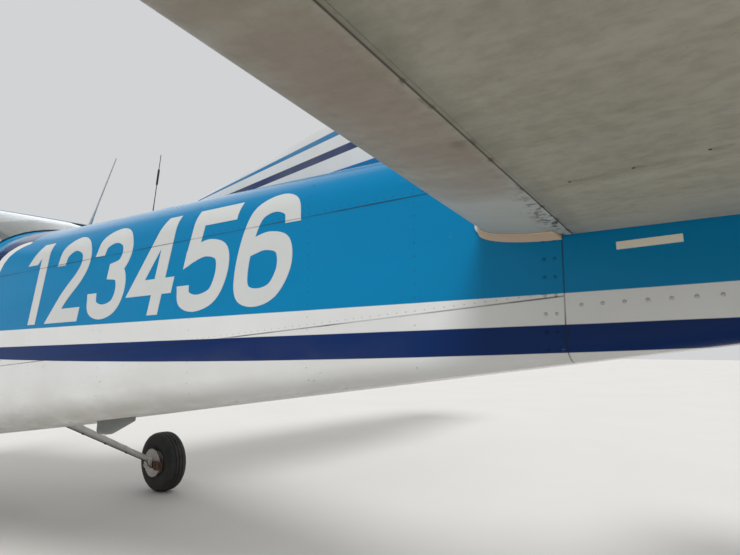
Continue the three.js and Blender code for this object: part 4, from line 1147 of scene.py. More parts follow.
@dataclass
class Numerals:
    """Six plain slanted numerals on each side of the tail cone, as painted strips."""
    start: float = 118.0
    base: float = 1.188
    climb: float = 0.0217
    pitch: float = 0.2423
    height: float = 0.318
    width: float = 0.212
    stroke: float = 0.052
    slant: float = 0.28
    strokes: tuple = (
        (((0.10, 0.80), (0.329, 1.0977)), ((0.36, 1.0977), (0.36, -0.0977))),
        (((0.0, 0.72), (0.05, 0.90), (0.24, 1.0), (0.44, 0.92), (0.5, 0.74), (0.43, 0.54), (0.20, 0.26),
          (-0.009, -0.0977)), ((0.0125, 0.0), (0.57, 0.0))),
        (((0.0, 0.76), (0.06, 0.93), (0.25, 1.0), (0.43, 0.93), (0.49, 0.76), (0.42, 0.59), (0.22, 0.53)),
         ((0.22, 0.53), (0.43, 0.48), (0.5, 0.27), (0.44, 0.07), (0.25, 0.0), (0.06, 0.07), (0.0, 0.26))),
        (((0.38, 1.0977), (0.38, -0.0977)), ((0.367, 1.0977), (-0.03, 0.1523)),
         ((-0.019, 0.25), (0.60, 0.25))),
        (((0.55, 1.0), (0.06, 1.0)), ((0.06, 1.0977), (0.03, 0.4925)),
         ((-0.051, 0.522), (0.10, 0.60), (0.26, 0.63), (0.44, 0.55), (0.5, 0.32), (0.44, 0.08), (0.24, 0.0),
          (0.06, 0.06),
          (0.0, 0.22))),
        (((0.49, 0.76), (0.43, 0.93), (0.25, 1.0), (0.07, 0.92), (0.0, 0.68), (0.0, 0.32), (0.07, 0.07),
          (0.25, 0.0),
          (0.43, 0.07), (0.5, 0.30), (0.43, 0.53), (0.25, 0.60), (0.10, 0.57), (0.0, 0.53)),),
    )

    def build(self) -> None:
        """Strokes as smooth curves through points of a unit box, laid on the skin and leaned aft."""
        for side in Side:
            soup = Soup()
            origin = at(self.start)
            if side is Side.RIGHT:
                origin += 5 * self.pitch + self.width + self.slant * self.height
            for place, figure in enumerate(self.strokes):
                for layer, corners in enumerate(figure):
                    path = smooth_path(corners, 6 * max(len(corners), 6))
                    box = np.array([2 * (self.width - self.stroke), self.height - self.stroke])
                    grid = stroke_grid(self.stroke / 2 + path * box, self.stroke)
                    along, up = grid[..., 0] + place * self.pitch, grid[..., 1]
                    rise = self.base + self.climb * (origin + side.value * along - at(self.start))
                    lift = 0.0007 + 0.00003 * layer + 0.00002 * np.linspace(0, 1, len(path))[:, None, None]
                    length = origin + side.value * (along + up * self.slant)
                    soup.add(*painted(TAIL, length, rise + up, side.value, lift))
            soup.piece(f"numerals_{side.word}", PALETTE.marking, Body.AIRFRAME, 20.0)


@dataclass
class HingedWing:
    """Tail surface given by its section at each place along the span, with its moving part behind a hinge."""
    points: int = 26

    def ring(self, front: float, rear: float, half: Callable[[np.ndarray], np.ndarray], nose: float,
             blunt: float = 0.5) -> np.ndarray:
        """Section ring as (along, up) pairs: aft up, round the nose, aft low.

        The half thickness is the given one times (1 - (1 - d / nose) ** 2) ** blunt near the front.
        """
        s = (1 - np.cos(np.linspace(0, np.pi, self.points))) / 2
        s = s ** 1.4
        along = front + (rear - front) * s
        lead = np.clip((along - front) / max(nose, 1e-6), 0, 1)
        size = half(along) * np.maximum(1 - (1 - lead) ** 2, 1e-5) ** blunt
        return two_faces(along, size)


@dataclass
class Tailplane:
    """Fixed stabilizers, elevators with their horns, the trim tab and the root fairings."""
    height: float = 1.372
    hinge: float = at(229.5)
    root: float = 0.060
    tip: float = 1.700
    horn: float = 1.548
    heel: float = 0.120
    tab: tuple[float, float] = (0.260, 0.900)
    tab_nose: float = at(241.0)

    def share(self, x: np.ndarray | float) -> np.ndarray | float:
        """0 at the root, 1 at the tip."""
        return np.clip((x - self.root) / (self.tip - self.root), 0, 1)

    def lead(self, x: np.ndarray | float) -> np.ndarray | float:
        """Length of the leading edge, which is straight and turns aft at the tip."""
        return at(195.6) + 0.195 * x + 0.030 * np.clip((x - self.tip + 0.06) / 0.06, 0, 1) ** 2

    def trail(self, x: float) -> float:
        """Length of the trailing edge."""
        return self.hinge + 0.470 - 0.170 * float(self.share(x)) - 0.030 * float(
            np.clip((x - self.tip + 0.06) / 0.06, 0, 1)) ** 2

    def half(self, x: float) -> Callable[[np.ndarray], np.ndarray]:
        """Half thickness along the chord: full behind the nose, 0.92 of it at the hinge, then a wedge."""
        size = (0.042 - 0.016 * float(self.share(x))) * math.sqrt(
            max(1 - float(np.clip((x - self.tip + 0.06) / 0.075, 0, 1)) ** 2, 0.0))

        def thickness(along: np.ndarray) -> np.ndarray:
            """Half thickness at each length."""
            start = self.lead(x) + 0.17
            ahead = size * (1 - 0.08 * np.clip((along - start) / (self.hinge - start), 0, 1))
            behind = size * 0.92 + (0.0025 - size * 0.92) * (along
                                                             - self.hinge) / (self.trail(x) - self.hinge)
            return np.where(along < self.hinge, ahead, behind)
        return thickness

    def place(self, x: float | np.ndarray, ring: np.ndarray, side: Side) -> np.ndarray:
        """Points of a ring at a span place."""
        out = np.empty((len(ring), 3))
        out[:, 0] = x * side.value
        out[:, 1] = ring[:, 0]
        out[:, 2] = self.height + ring[:, 1]
        return out

    def cove(self, x: float, radius: float, edge: float) -> np.ndarray:
        """Hollow that faces the round nose of the moving part: an arc about the hinge."""
        top = single(self.half(x), edge)
        angle = math.asin(min(top / radius, 0.999))
        a = np.linspace(-angle, angle, 9)[1:-1]
        return np.stack([self.hinge - radius * np.cos(a), radius * np.sin(a)], 1)

    def fixed_row(self, x: float, side: Side) -> np.ndarray:
        """Section of the stabilizer; outboard it ends ahead of the elevator's horn."""
        radius = (0.042 - 0.016 * float(self.share(x))) * 0.88 + 0.006
        if x > self.horn - 0.0065 or x < self.heel - 0.006:
            edge = self.hinge - (0.216 if x > self.heel else 0.001)
            back = flat_back(edge, single(self.half(x), edge))
        else:
            top = single(self.half(x), self.hinge - 0.01)
            edge = self.hinge - math.sqrt(max(radius ** 2 - top ** 2, 1e-6))
            back = self.cove(x, radius, edge)
        ring = SECTION.ring(float(self.lead(x)), edge, self.half(x), 0.17, 0.36)
        return self.place(x, np.concatenate([ring, back]), side)

    def stabilizer(self, side: Side) -> None:
        """Skin from the tail cone's side to the tip, with drain holes sunk into its underside."""
        wide = [0.062, 0.075, 0.09, 0.1139, 0.1141, 0.16, 0.3, 0.6, 0.9, 1.2, 1.45, 1.5414, 1.5416, 1.6,
                1.64, 1.652,
                1.664, 1.676, 1.687, 1.694, 1.698]
        rows = np.array([self.fixed_row(x, side) for x in wide])
        room = TAIL.side(rows[:, :, 1], rows[:, :, 2]) + 0.006
        rows[:, :, 0] = np.maximum(np.abs(rows[:, :, 0]), room
                                   + (np.arange(len(wide)) * 1e-4)[:, None]) * side.value
        made = Soup().add(*loft(rows)).piece(f"stabilizer_skin_{side.word}", PALETTE.worn,
                                             Body.AIRFRAME, 35.0)
        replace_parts(made, f"stabilizer_{side.word}")
        # Skin seam under and over the surface, as a thin lap, with flush rivets along it and the ribs.
        soup, rivets = Soup(), Rivets()
        x = np.linspace(0.14, 1.52, 60)
        seam_y = (x - 0.344) * 0.134 + at(205.4)
        for flip in (1, -1):
            z = np.array([self.height + flip * single(self.half(a), b) for a, b in zip(x, seam_y)])
            line = np.stack([x * side.value, seam_y, z - flip * 0.0001], 1)
            soup.add(*swept(line, lap_section(0.012, 0.0004) * (side.value * flip, 1), (0, 0, flip)))
            for rib in (0.30, 0.52, 0.76, 1.0, 1.24, 1.46):
                y = np.arange(float(self.lead(rib)) + 0.20, self.hinge - 0.05, 0.03)
                z = self.height + flip * self.half(rib)(y)
                points = np.stack([np.full_like(y, rib * side.value), y, z], 1)
                rivets.along(points, (0.0, 0.0, flip))
            for row in (seam_y - 0.012, np.full_like(x, self.hinge - 0.075))[flip < 0:]:
                z = np.array([self.height + flip * single(self.half(a), b) for a, b in zip(x, row)])
                rivets.along(np.stack([x * side.value, row, z], 1), (0.0, 0.0, flip))
        soup.piece(f"stabilizer_seams_{side.word}", PALETTE.worn, Body.AIRFRAME, 20.0)
        rivets.soup.piece(f"stabilizer_rivets_{side.word}", PALETTE.worn, Body.AIRFRAME, 60.0)
        holes = Soup()
        for x0, y0 in ((0.469, at(208.7)), (0.477, at(212.1)), (0.492, at(215.6)), (0.90, at(214.0))):
            z0 = self.height - single(self.half(x0), y0)
            holes.add(*turned([(0.0002, -0.0003), (0.0023, -0.0003), (0.0023, 0.0004), (0.0002, 0.0004)],
                              (x0 * side.value, y0, z0), 2, 16))
        holes.piece(f"stabilizer_drains_{side.word}", PALETTE.black, Body.AIRFRAME, 30.0)

    def moving_row(self, x: float, side: Side, rear: float | None = None, front: float | None = None,
                   nose: float | None = None) -> np.ndarray:
        """Section of an elevator between its round nose and its trailing edge."""
        size = self.half(x)
        radius = (0.042 - 0.016 * float(self.share(x))) * 0.88
        front = self.hinge - radius if front is None else front
        sunk = bead(x, 0.27, 1.50, 0.115, 0.0016)

        def half(along: np.ndarray) -> np.ndarray:
            """Half thickness with the beads behind the nose."""
            fade = np.clip((along - self.hinge - 0.03) / 0.03, 0,
                           1) * np.clip((self.trail(x) - 0.05 - along) / 0.04, 0, 1)
            return size(along) - sunk * fade
        ring = SECTION.ring(front, self.trail(x) if rear is None else rear, half,
                            radius if nose is None else nose)
        return self.place(x, ring, side)

    def elevator(self, side: Side) -> None:
        """Moving surface with its horn; the right one leaves room for the tab."""
        inner = np.linspace(self.heel, self.horn, 150)
        rows = []
        for x in inner:
            beside_tab = side is Side.RIGHT and self.tab[0] - 0.006 < x < self.tab[1] + 0.006
            cut_back = self.tab_nose - 0.0195 if beside_tab else None
            heel = self.trail(x) - max(0.0, (0.25 - x) * 1.5) if cut_back is None else cut_back
            rows.append(self.moving_row(float(x), side, min(heel, self.trail(x))))
        for x in (1.5482, 1.60, 1.64, 1.655, 1.668, 1.68, 1.69, 1.6975):
            rows.append(self.moving_row(x, side, None, self.hinge - 0.208, 0.06))
        soup = Soup().add(*loft(np.array(rows)))
        if side is Side.LEFT:
            soup.add(*swept(np.array([[-0.1195, self.hinge, self.height], [0.0, self.hinge, self.height],
                                      [0.124, self.hinge, self.height]]), circle(0.016, 40), (0, 0, 1)))
        made = soup.piece(f"elevator_skin_{side.word}", PALETTE.white, Body.ELEVATOR, 35.0)
        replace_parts(made, f"elevator_{side.word}")

    def trim_tab(self) -> None:
        """Tab with a round nose, a little thinner at each bead."""
        rows = []
        for x in np.linspace(self.tab[0], self.tab[1], 60):
            size = self.half(float(x))

            def half(along: np.ndarray, x: float = float(x)) -> np.ndarray:
                """Half thickness of the tab, a little thinner at each bead."""
                return np.maximum(size(along) - bead(x, 0.27, 0.89, 0.115, 0.0016) * 0.5, 0.002)
            radius = single(half, self.tab_nose)
            rows.append(self.place(float(x), SECTION.ring(self.tab_nose - radius, self.trail(float(x)),
                                                          half, radius),
                                   Side.RIGHT))
        soup = Soup().add(*loft(np.array(rows)))
        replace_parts(soup.piece("trim_tab_skin", PALETTE.white, Body.TAB, 35.0), "trim_tab")

    def root_fairing(self, side: Side) -> None:
        """Soft tan moulding round the nose of the root: the section, grown by a flare that fades outboard."""
        rows_out, rows_in = [], []
        for t in np.linspace(0, 1, 16):
            x = 0.118 + (0.172 - 0.118) * t
            grow = 0.0022 + 0.0065 * (1 - t) ** 2
            front, rear = float(self.lead(x)), at(203.35)
            s = np.linspace(0, 1, 24) ** 1.6
            for store, g in ((rows_out, grow), (rows_in, 0.0004)):
                along = front - g + (rear - front + g) * s
                lead = np.clip((along - front + g) / 0.17, 0, 1)
                size = (self.half(x)(along)) * np.maximum(1 - (1 - lead) ** 2,
                                                          1e-6) ** 0.36 + g * np.sqrt(np.clip(s * 30, 0, 1))
                store.append(self.place(x, two_faces(along, size), side))
        outer, inner = np.array(rows_out), np.array(rows_in)
        rows = np.concatenate([outer, inner[:, ::-1]], 1)
        room = TAIL.side(rows[:, :, 1], rows[:, :, 2]) + 0.0008
        spread = np.linspace(0, 1, len(rows))[:, None]
        rows[:, :, 0] = (room * (1 - spread) + 0.172 * spread) * side.value
        made = Soup().add(*loft(rows)).piece(f"root_moulding_{side.word}", PALETTE.tan, Body.AIRFRAME, 50.0)
        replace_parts(made, f"root_fairing_{side.word}")

    def build(self) -> None:
        """All of the tailplane."""
        for side in Side:
            self.stabilizer(side)
            self.elevator(side)
            self.root_fairing(side)
        self.trim_tab()


SECTION = HingedWing()


@dataclass
class FinShape:
    """Fin with its dorsal fillet, and the rudder."""
    levels: tuple = ((1.180, 190.0, 250.5, 0.090), (1.560, 198.0, 252.5, 0.092), (1.900, 206.5, 261.5, 0.084),
                     (2.560, 231.0, 280.6, 0.058), (2.618, 239.5, 278.0, 0.030))
    top: float = 2.618
    foot: float = 1.196
    horn: float = 2.514

    @staticmethod
    def hinge_station(height: float) -> float:
        """Station of the rudder's hinge line."""
        return 233.5 + 24.0 * (height - 1.190) / 1.460

    def size(self, height: float) -> tuple[float, float, float]:
        """Nose and tail lengths and thickness at a height."""
        t = np.array(self.levels)
        return tuple(float(v) for v in (at(np.interp(height, t[:, 0], t[:, 1])),
                                        at(np.interp(height, t[:, 0], t[:, 2])),
                                        np.interp(height, t[:, 0], t[:, 3])))

    def half(self, height: float) -> Callable[[np.ndarray], np.ndarray]:
        """Half thickness along the chord: 0.5 of the thickness ahead, 0.42 at the hinge, then a wedge."""
        nose, tail, thick = self.size(height)
        hinge = at(self.hinge_station(height))

        def thickness(along: np.ndarray) -> np.ndarray:
            """Half thickness at each length."""
            toward = np.clip((along - (nose + hinge) / 2) / ((hinge - nose) / 2), 0, 1)
            ahead = thick * (0.5 - 0.08 * toward ** 2)
            behind = thick * 0.42 + (0.003 - thick * 0.42) * (along - hinge) / (tail - hinge)
            return np.where(along < hinge, ahead, np.maximum(behind, 0.002))
        return thickness

    def row(self, height: float, front: float, rear: float, nose: float, blunt: float,
            back: np.ndarray | None = None,
            shrink: float = 1.0) -> np.ndarray:
        """One level ring."""
        size = self.half(height)
        ring = SECTION.ring(front, rear, lambda along: size(along) * shrink, nose, blunt)
        if back is not None:
            ring = np.concatenate([ring, back])
        return np.stack([ring[:, 1], ring[:, 0], np.full(len(ring), height)], 1)

    def fin(self) -> None:
        """Fixed fin: round nose, cove about the rudder's hinge, and the fillet forward along the spine."""
        rows = []
        for height in [*np.linspace(1.585, 2.4949, 30), 2.4951, 2.55, 2.575, 2.595, 2.607, 2.614, 2.6175]:
            nose, _, thick = self.size(height)
            hinge = at(self.hinge_station(height))
            radius = np.interp(height, (1.196, 2.504), (0.048, 0.034))
            if height > 2.495:
                edge = at(244.0) - 0.0105
                shrink = math.sqrt(max(1 - max(0.0, (height - 2.56) / 0.062) ** 2, 0.04))
                back = flat_back(edge, single(self.half(height), edge) * shrink)
                rows.append(self.row(height, nose, edge, 0.11, 0.42, back, shrink))
                continue
            high = thick * 0.43
            edge = hinge - math.sqrt(max(radius ** 2 - high ** 2, 1e-6)) / 0.92
            angle = math.asin(min(high / radius, 0.99))
            a = np.linspace(-angle, angle, 9)[1:-1]
            back = np.stack([hinge - radius * np.cos(a) / 0.92, radius * np.sin(a)], 1)
            rows.append(self.row(height, nose, edge, 0.16, 0.42, back))
        soup = Soup().add(*loft(np.array(rows)))
        # Dorsal fillet: each station's section is a rounded tab on the spine, its top a straight line.
        stations = np.concatenate([np.linspace(137.5, 141, 8), np.linspace(142, 222, 40)])
        y = at(stations)
        top = 1.640 + np.clip(y - at(137.5), 0, at(210.0) - at(137.5)) * 0.1825
        top = top - 0.012 * np.clip((141.0 - stations) / 3.5, 0, 1) ** 2
        crown = TAIL.sizes(stations)[2]
        u = np.linspace(0, 1, 9)
        up = np.concatenate([u[:-1], [1.0], u[::-1][1:]])
        rim = np.concatenate([1 - u[:-1] ** 3 * 0.45, [0.0], -(1 - u[::-1][1:] ** 3 * 0.45)])
        half_width, low, size = 0.011, crown - 0.03, (len(y), len(up))
        rows = np.stack([np.broadcast_to(half_width * rim, size), np.broadcast_to(y[:, None], size),
                         low[:, None] + (top - low)[:, None] * up], -1)
        soup.add(*loft(rows))
        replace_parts(soup.piece("fin_skin", PALETTE.fin, Body.AIRFRAME, 35.0), "fin")
        rivets = Rivets()
        for sign in (1, -1):
            for height in (1.70, 1.95, 2.2, 2.45):
                nose, _, _ = self.size(height)
                y = np.arange(nose + 0.17, at(self.hinge_station(height)) - 0.05, 0.032)
                x = self.half(height)(y) * sign
                rivets.along(np.stack([x, y, np.full_like(y, height)], 1), (sign, 0.0, 0.0))
            z = np.arange(1.64, 2.46, 0.03)
            y = at(self.hinge_station(z)) - 0.06
            x = np.array([single(self.half(a), b) for a, b in zip(z, y)]) * sign
            rivets.along(np.stack([x, y, z], 1), (sign, 0.0, 0.0))
        rivets.soup.piece("fin_rivets", PALETTE.fin, Body.AIRFRAME, 60.0)

    def rudder(self) -> None:
        """Moving surface with stiffening beads; its top reaches forward over the fin."""
        low, high = [], []
        for height in [*np.linspace(self.foot, self.horn - 0.002, 120), self.horn, 2.56, 2.58, 2.598, 2.609,
                       2.615, 2.6175]:
            _, tail, _ = self.size(height)
            hinge = at(self.hinge_station(height))
            shrink = math.sqrt(max(1 - max(0.0, (height - 2.56) / 0.062) ** 2, 0.04))
            if height >= self.horn:
                high.append(self.row(height, at(244.0), tail, 0.03, 0.5, None, shrink))
                continue
            radius = float(np.interp(height, (1.196, 2.504), (0.038, 0.024)))
            sunk = bead(height, 1.25, 2.48, 0.13, 0.0016)
            size = self.half(height)

            def half(along: np.ndarray) -> np.ndarray:
                """Half thickness with the beads and with a nose no wider than its circle about the hinge."""
                fade = within(along, hinge + 0.04, 0.03, tail - 0.05, 0.04)
                ahead = np.minimum(along - hinge, 0) * 0.92
                circle_half = np.sqrt(np.maximum(radius ** 2 - ahead ** 2, 1e-8))
                return np.where(along < hinge, np.minimum(size(along), circle_half),
                                size(along) - sunk * fade)

            s = (1 - np.cos(np.linspace(0, np.pi, 30))) / 2
            along = hinge - radius / 0.925 + (tail - hinge + radius / 0.925) * s ** 1.4
            ring = two_faces(along, half(along))
            low.append(np.stack([ring[:, 1], ring[:, 0], np.full(len(ring), height)], 1))
        soup = Soup().add(*loft(np.array(low))).add(*loft(np.array(high)))
        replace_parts(soup.piece("rudder_skin", PALETTE.fin, Body.RUDDER, 35.0), "rudder")

    def build(self) -> None:
        """Fin and rudder."""
        self.fin()
        self.rudder()


# Wings
def foil_half(u: np.ndarray, thickness: float) -> np.ndarray:
    """Half thickness on a unit chord: the usual four-digit series."""
    shape = 0.2969 * np.sqrt(u) - 0.126 * u - 0.3516 * u ** 2 + 0.2843 * u ** 3 - 0.1015 * u ** 4
    return 5 * thickness * shape


def foil_mean(u: np.ndarray) -> np.ndarray:
    """Camber line: two parabolas that meet at 0.4 of the chord."""
    return np.where(u < 0.4, 0.125 * (0.8 * u - u * u), 0.02 / 0.36 * (0.2 + 0.8 * u - u * u))


@dataclass
class Wing:
    """Braced wing with a flap, an aileron, a strut and its tip."""
    table: np.ndarray = field(default_factory=lambda: np.array([
        [0.548, 24.0, 1.626, 0.0, 1.5, 0.12], [2.540, 24.0, 1.626, 1.992, 1.5, 0.12],
        [5.290, 31.0, 1.118, 4.742, -1.5, 0.12], [5.400, 33.5, 0.980, 4.742, -1.5, 0.10],
        [5.450, 40.0, 0.640, 4.600, -1.5, 0.06]]))
    flap: tuple[float, float, float] = (0.592, 2.528, 0.765)
    aileron: tuple[float, float, float] = (2.562, 5.060, 0.8)

    def sizes(self, x: float) -> list[float]:
        """Nose station, chord, distance for the dihedral, incidence and thickness."""
        return [float(np.interp(x, self.table[:, 0], self.table[:, k])) for k in range(1, 6)]

    def put(self, x: float, along: np.ndarray, up: np.ndarray, side: Side) -> np.ndarray:
        """Points of the unit section, turned by the incidence and raised by the dihedral."""
        lead, chord, out, turn, _ = self.sizes(x)
        a = math.radians(turn)
        y = at(lead) + chord * (along * math.cos(a) + up * math.sin(a))
        z = 1.885 + out * math.tan(math.radians(1.73)) + chord * (up * math.cos(a) - along * math.sin(a))
        return np.stack([np.full_like(y, x * side.value), y, z], -1)

    def face(self, x: float, share: np.ndarray, flip: int, side: Side) -> np.ndarray:
        """Points on the upper skin for 1 and the lower for -1, at shares of the chord."""
        return self.put(x, share, foil_mean(share) + flip * foil_half(share, self.sizes(x)[4]), side)

    def row(self, x: float, side: Side, first: float, last: float, back: np.ndarray | None = None,
            nose: float = 0.0, sunk: float = 0.0, count: int = 36, shrink: float = 1.0) -> np.ndarray:
        """Section between two shares of the chord; a nose rounds its front end off.

        Args:
            x: span place.
            side: left or right.
            first: share of the chord where it starts.
            last: share where it ends.
            back: (share, up) points that close it behind.
            nose: share over which the front is rounded, 0 for the wing's own nose.
            sunk: share that the skin sinks by at a stiffening bead.
            count: points on each face.
            shrink: factor on the thickness.
        """
        thick = self.sizes(x)[4]
        s = (1 - np.cos(np.linspace(0, np.pi, count))) / 2
        u = first + (last - first) * s ** (1.25 if nose == 0 else 1.6)
        half = foil_half(u, thick) * shrink
        if nose > 0:
            half = half * np.sqrt(np.maximum(1 - (1 - np.clip((u - first) / nose, 0, 1)) ** 2, 1e-5))
        half = half - sunk * within(u, first + 0.05, 0.02, last - 0.02, 0.02)
        mean = foil_mean(u)
        half = np.maximum(half, 0.0006)
        along = np.concatenate([u[::-1], u[1:]])
        up = np.concatenate([(mean + half)[::-1], (mean - half)[1:]])
        if back is None:
            back = flat_back(last, float(half[-1]), single(foil_mean, last))
        return self.put(x, np.concatenate([along, back[:, 0]]), np.concatenate([up, back[:, 1]]), side)

    def cove(self, x: float) -> tuple[float, np.ndarray]:
        """Where the skin ends ahead of the aileron, and the hollow behind it."""
        chord, thick = self.sizes(x)[1], self.sizes(x)[4]
        share = self.aileron[2]
        radius = 0.0262 * 0.96 + 0.006 / chord
        middle = single(foil_mean, share)
        high = float(foil_half(share - 0.01, thick))
        edge = share - math.sqrt(max(radius ** 2 - high ** 2, 4e-5))
        a = np.linspace(-1, 1, 9)[1:-1] * math.asin(min(high / radius, 0.98))
        return edge, np.stack([share - radius * np.cos(a), middle + radius * np.sin(a)], 1)

    def skin(self, side: Side) -> None:
        """Wing in runs: root, flap bay, rib between, aileron bay and the rounded tip."""
        rows = []
        flap_edge = self.flap[2] - 0.008 / 1.626
        for x in (0.5482, 0.5838):
            rows.append(self.row(x, side, 0.0, 0.999))
        for x in np.linspace(0.5841, 2.5358, 8):
            rows.append(self.row(float(x), side, 0.0, flap_edge))
        for x in (2.5361, 2.5499):
            rows.append(self.row(x, side, 0.0, 0.999))
        for x in np.linspace(2.5502, 5.0718, 12):
            edge, back = self.cove(float(x))
            rows.append(self.row(float(x), side, 0.0, edge, back))
        for x in (5.0721, 5.15, 5.22, 5.29, 5.32, 5.35, 5.375, 5.395, 5.412, 5.427, 5.438, 5.445, 5.449):
            fall = 1.0 - 0.75 * max(0.0, (x - 5.33) / 0.12) ** 3
            rows.append(self.row(x, side, 0.0, 0.999, None, 0.0, 0.0, 36, fall))
        made = Soup().add(*loft(np.array(rows))).piece(f"wing_skin_{side.word}", PALETTE.white,
                                                       Body.AIRFRAME, 38.0)
        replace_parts(made, f"wing_{side.word}")

    def details(self, side: Side) -> None:
        """Rib and spar rivet rows on both faces, skin laps, fuel filler and inspection covers."""
        rivets, trim = Rivets(), Soup()
        for flip in (1, -1):
            for share in (0.05, 0.28, 0.72):
                xs = np.arange(0.60, 5.28, 0.055)
                points = [self.face(float(x), np.array([share]), flip, side)[0] for x in xs]
                rivets.along(np.array(points), (0.0, 0.0, flip))
            for x in (0.90, 1.35, 1.80, 2.25, 2.56, 2.95, 3.40, 3.85, 4.30, 4.75, 5.20):
                u = np.arange(0.06, 0.71, 0.028)
                points = self.face(x, u, flip, side)
                slope = np.gradient(points[:, 2]) / np.gradient(points[:, 1])
                rivets.along(points,
                             np.stack([np.zeros_like(u), -flip * slope, np.full_like(u, float(flip))], 1))
            points = self.face(2.56, np.linspace(0.02, 0.72, 40), flip, side)
            trim.add(*swept(points, lap_section(0.02, 0.0009), (0, 0, flip)))
        for x, share, radius in ((1.35, 0.42, 0.052), (2.25, 0.42, 0.045), (3.40, 0.45, 0.045),
                                 (4.30, 0.45, 0.045)):
            spot = self.face(x, np.array([share]), -1, side)[0]
            trim.add(*turned([(0.0005, -0.0016), (radius, -0.0016), (radius + 0.001, 0.002), (0.0005, 0.002)],
                             spot + np.array([0, 0, -0.0002]), 2, 40))
        spot = self.face(1.35, np.array([0.30]), 1, side)[0]
        trim.add(*turned([(0.0005, 0.012), (0.028, 0.012), (0.033, 0.008), (0.036, -0.002),
                          (0.0005, -0.002)], spot, 2, 40))
        rivets.soup.piece(f"wing_rivets_{side.word}", PALETTE.white, Body.AIRFRAME, 60.0)
        trim.piece(f"wing_covers_{side.word}", PALETTE.white, Body.AIRFRAME, 30.0)

    def surfaces(self, side: Side) -> None:
        """Flap and aileron with beads pressed into their skins."""
        for name, (low, high, share), start, nose, count, pitch, depth in (
                ("flap", self.flap, 0.0004, 0.03, 130, 0.149, 0.0011),
                ("aileron", self.aileron, -0.0248, 0.026, 150, 0.147, 0.0012)):
            rows = np.array([self.row(float(x), side, share + start, 0.999, None, nose,
                                      bead(x, low, high, pitch, depth), 24)
                             for x in np.linspace(low, high, count)])
            made = Soup().add(*loft(rows)).piece(f"{name}_skin_{side.word}", PALETTE.white,
                                                 Body(f"{name}_{side.word}"), 35.0)
            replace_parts(made, f"{name}_{side.word}")

    def strut(self, side: Side) -> None:
        """Streamlined strut from the fuselage to the wing, with a cuff at each end."""
        s = side.value
        top = self.put(2.600, np.array([14 * INCH / 1.626]), np.array([0.0]), side)[0]
        foot = np.array([0.490 * s, at(17.0), 0.782])
        angle = np.arange(36) / 36 * 2 * np.pi
        shape = np.stack([np.zeros(36), 0.058 * np.cos(angle),
                          0.023 * np.sin(angle) * (1 - 0.25 * np.cos(angle))], 1)
        start = (0.5185 - 0.490) / (2.600 - 0.490)
        rows = np.array([foot + (top - foot) * t + shape for t in np.linspace(start, 0.985, 24)])
        soup = Soup().add(*loft(rows))
        for low, high, big in ((start, start + 0.05, 1.16), (0.925, 0.968, 1.12)):
            rows = np.array([foot + (top - foot) * t + shape * g for t, g in
                             zip((low, low + 0.002, high - 0.006, high), (big, big + 0.02, big, 1.01))])
            soup.add(*loft(rows))
        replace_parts(soup.piece(f"strut_tube_{side.word}", PALETTE.white, Body.AIRFRAME, 35.0),
                    f"wing_strut_{side.word}")

    def build(self) -> None:
        """Both wings."""
        for side in Side:
            self.skin(side)
            self.details(side)
            self.surfaces(side)
            self.strut(side)


# Cabin
WINDSHIELD = [(8.4, 1.580), (17, 1.580), (30.4, 1.942), (30.4, 2.000), (8.4, 2.000)]
DOOR = [(20.5, 0.800), (56.5, 0.800), (56.5, 1.793), (28.5, 1.793), (20.5, 1.530)]
DOOR_WINDOW = [(24, 1.462), (53, 1.462), (53, 1.749), (30.5, 1.749), (24, 1.530)]
SIDE_WINDOW = [(60.5, 1.470), (84, 1.470), (84, 1.550), (72.8, 1.749), (60.5, 1.749)]
REAR_WINDOW = [(71, 2.050), (71, 1.890), (89, 1.600), (106.4, 1.535), (106.4, 2.050)]
BAGGAGE_DOOR = [(89, 0.960), (104, 0.960), (104, 1.380), (89, 1.380)]
REACH = 0.9


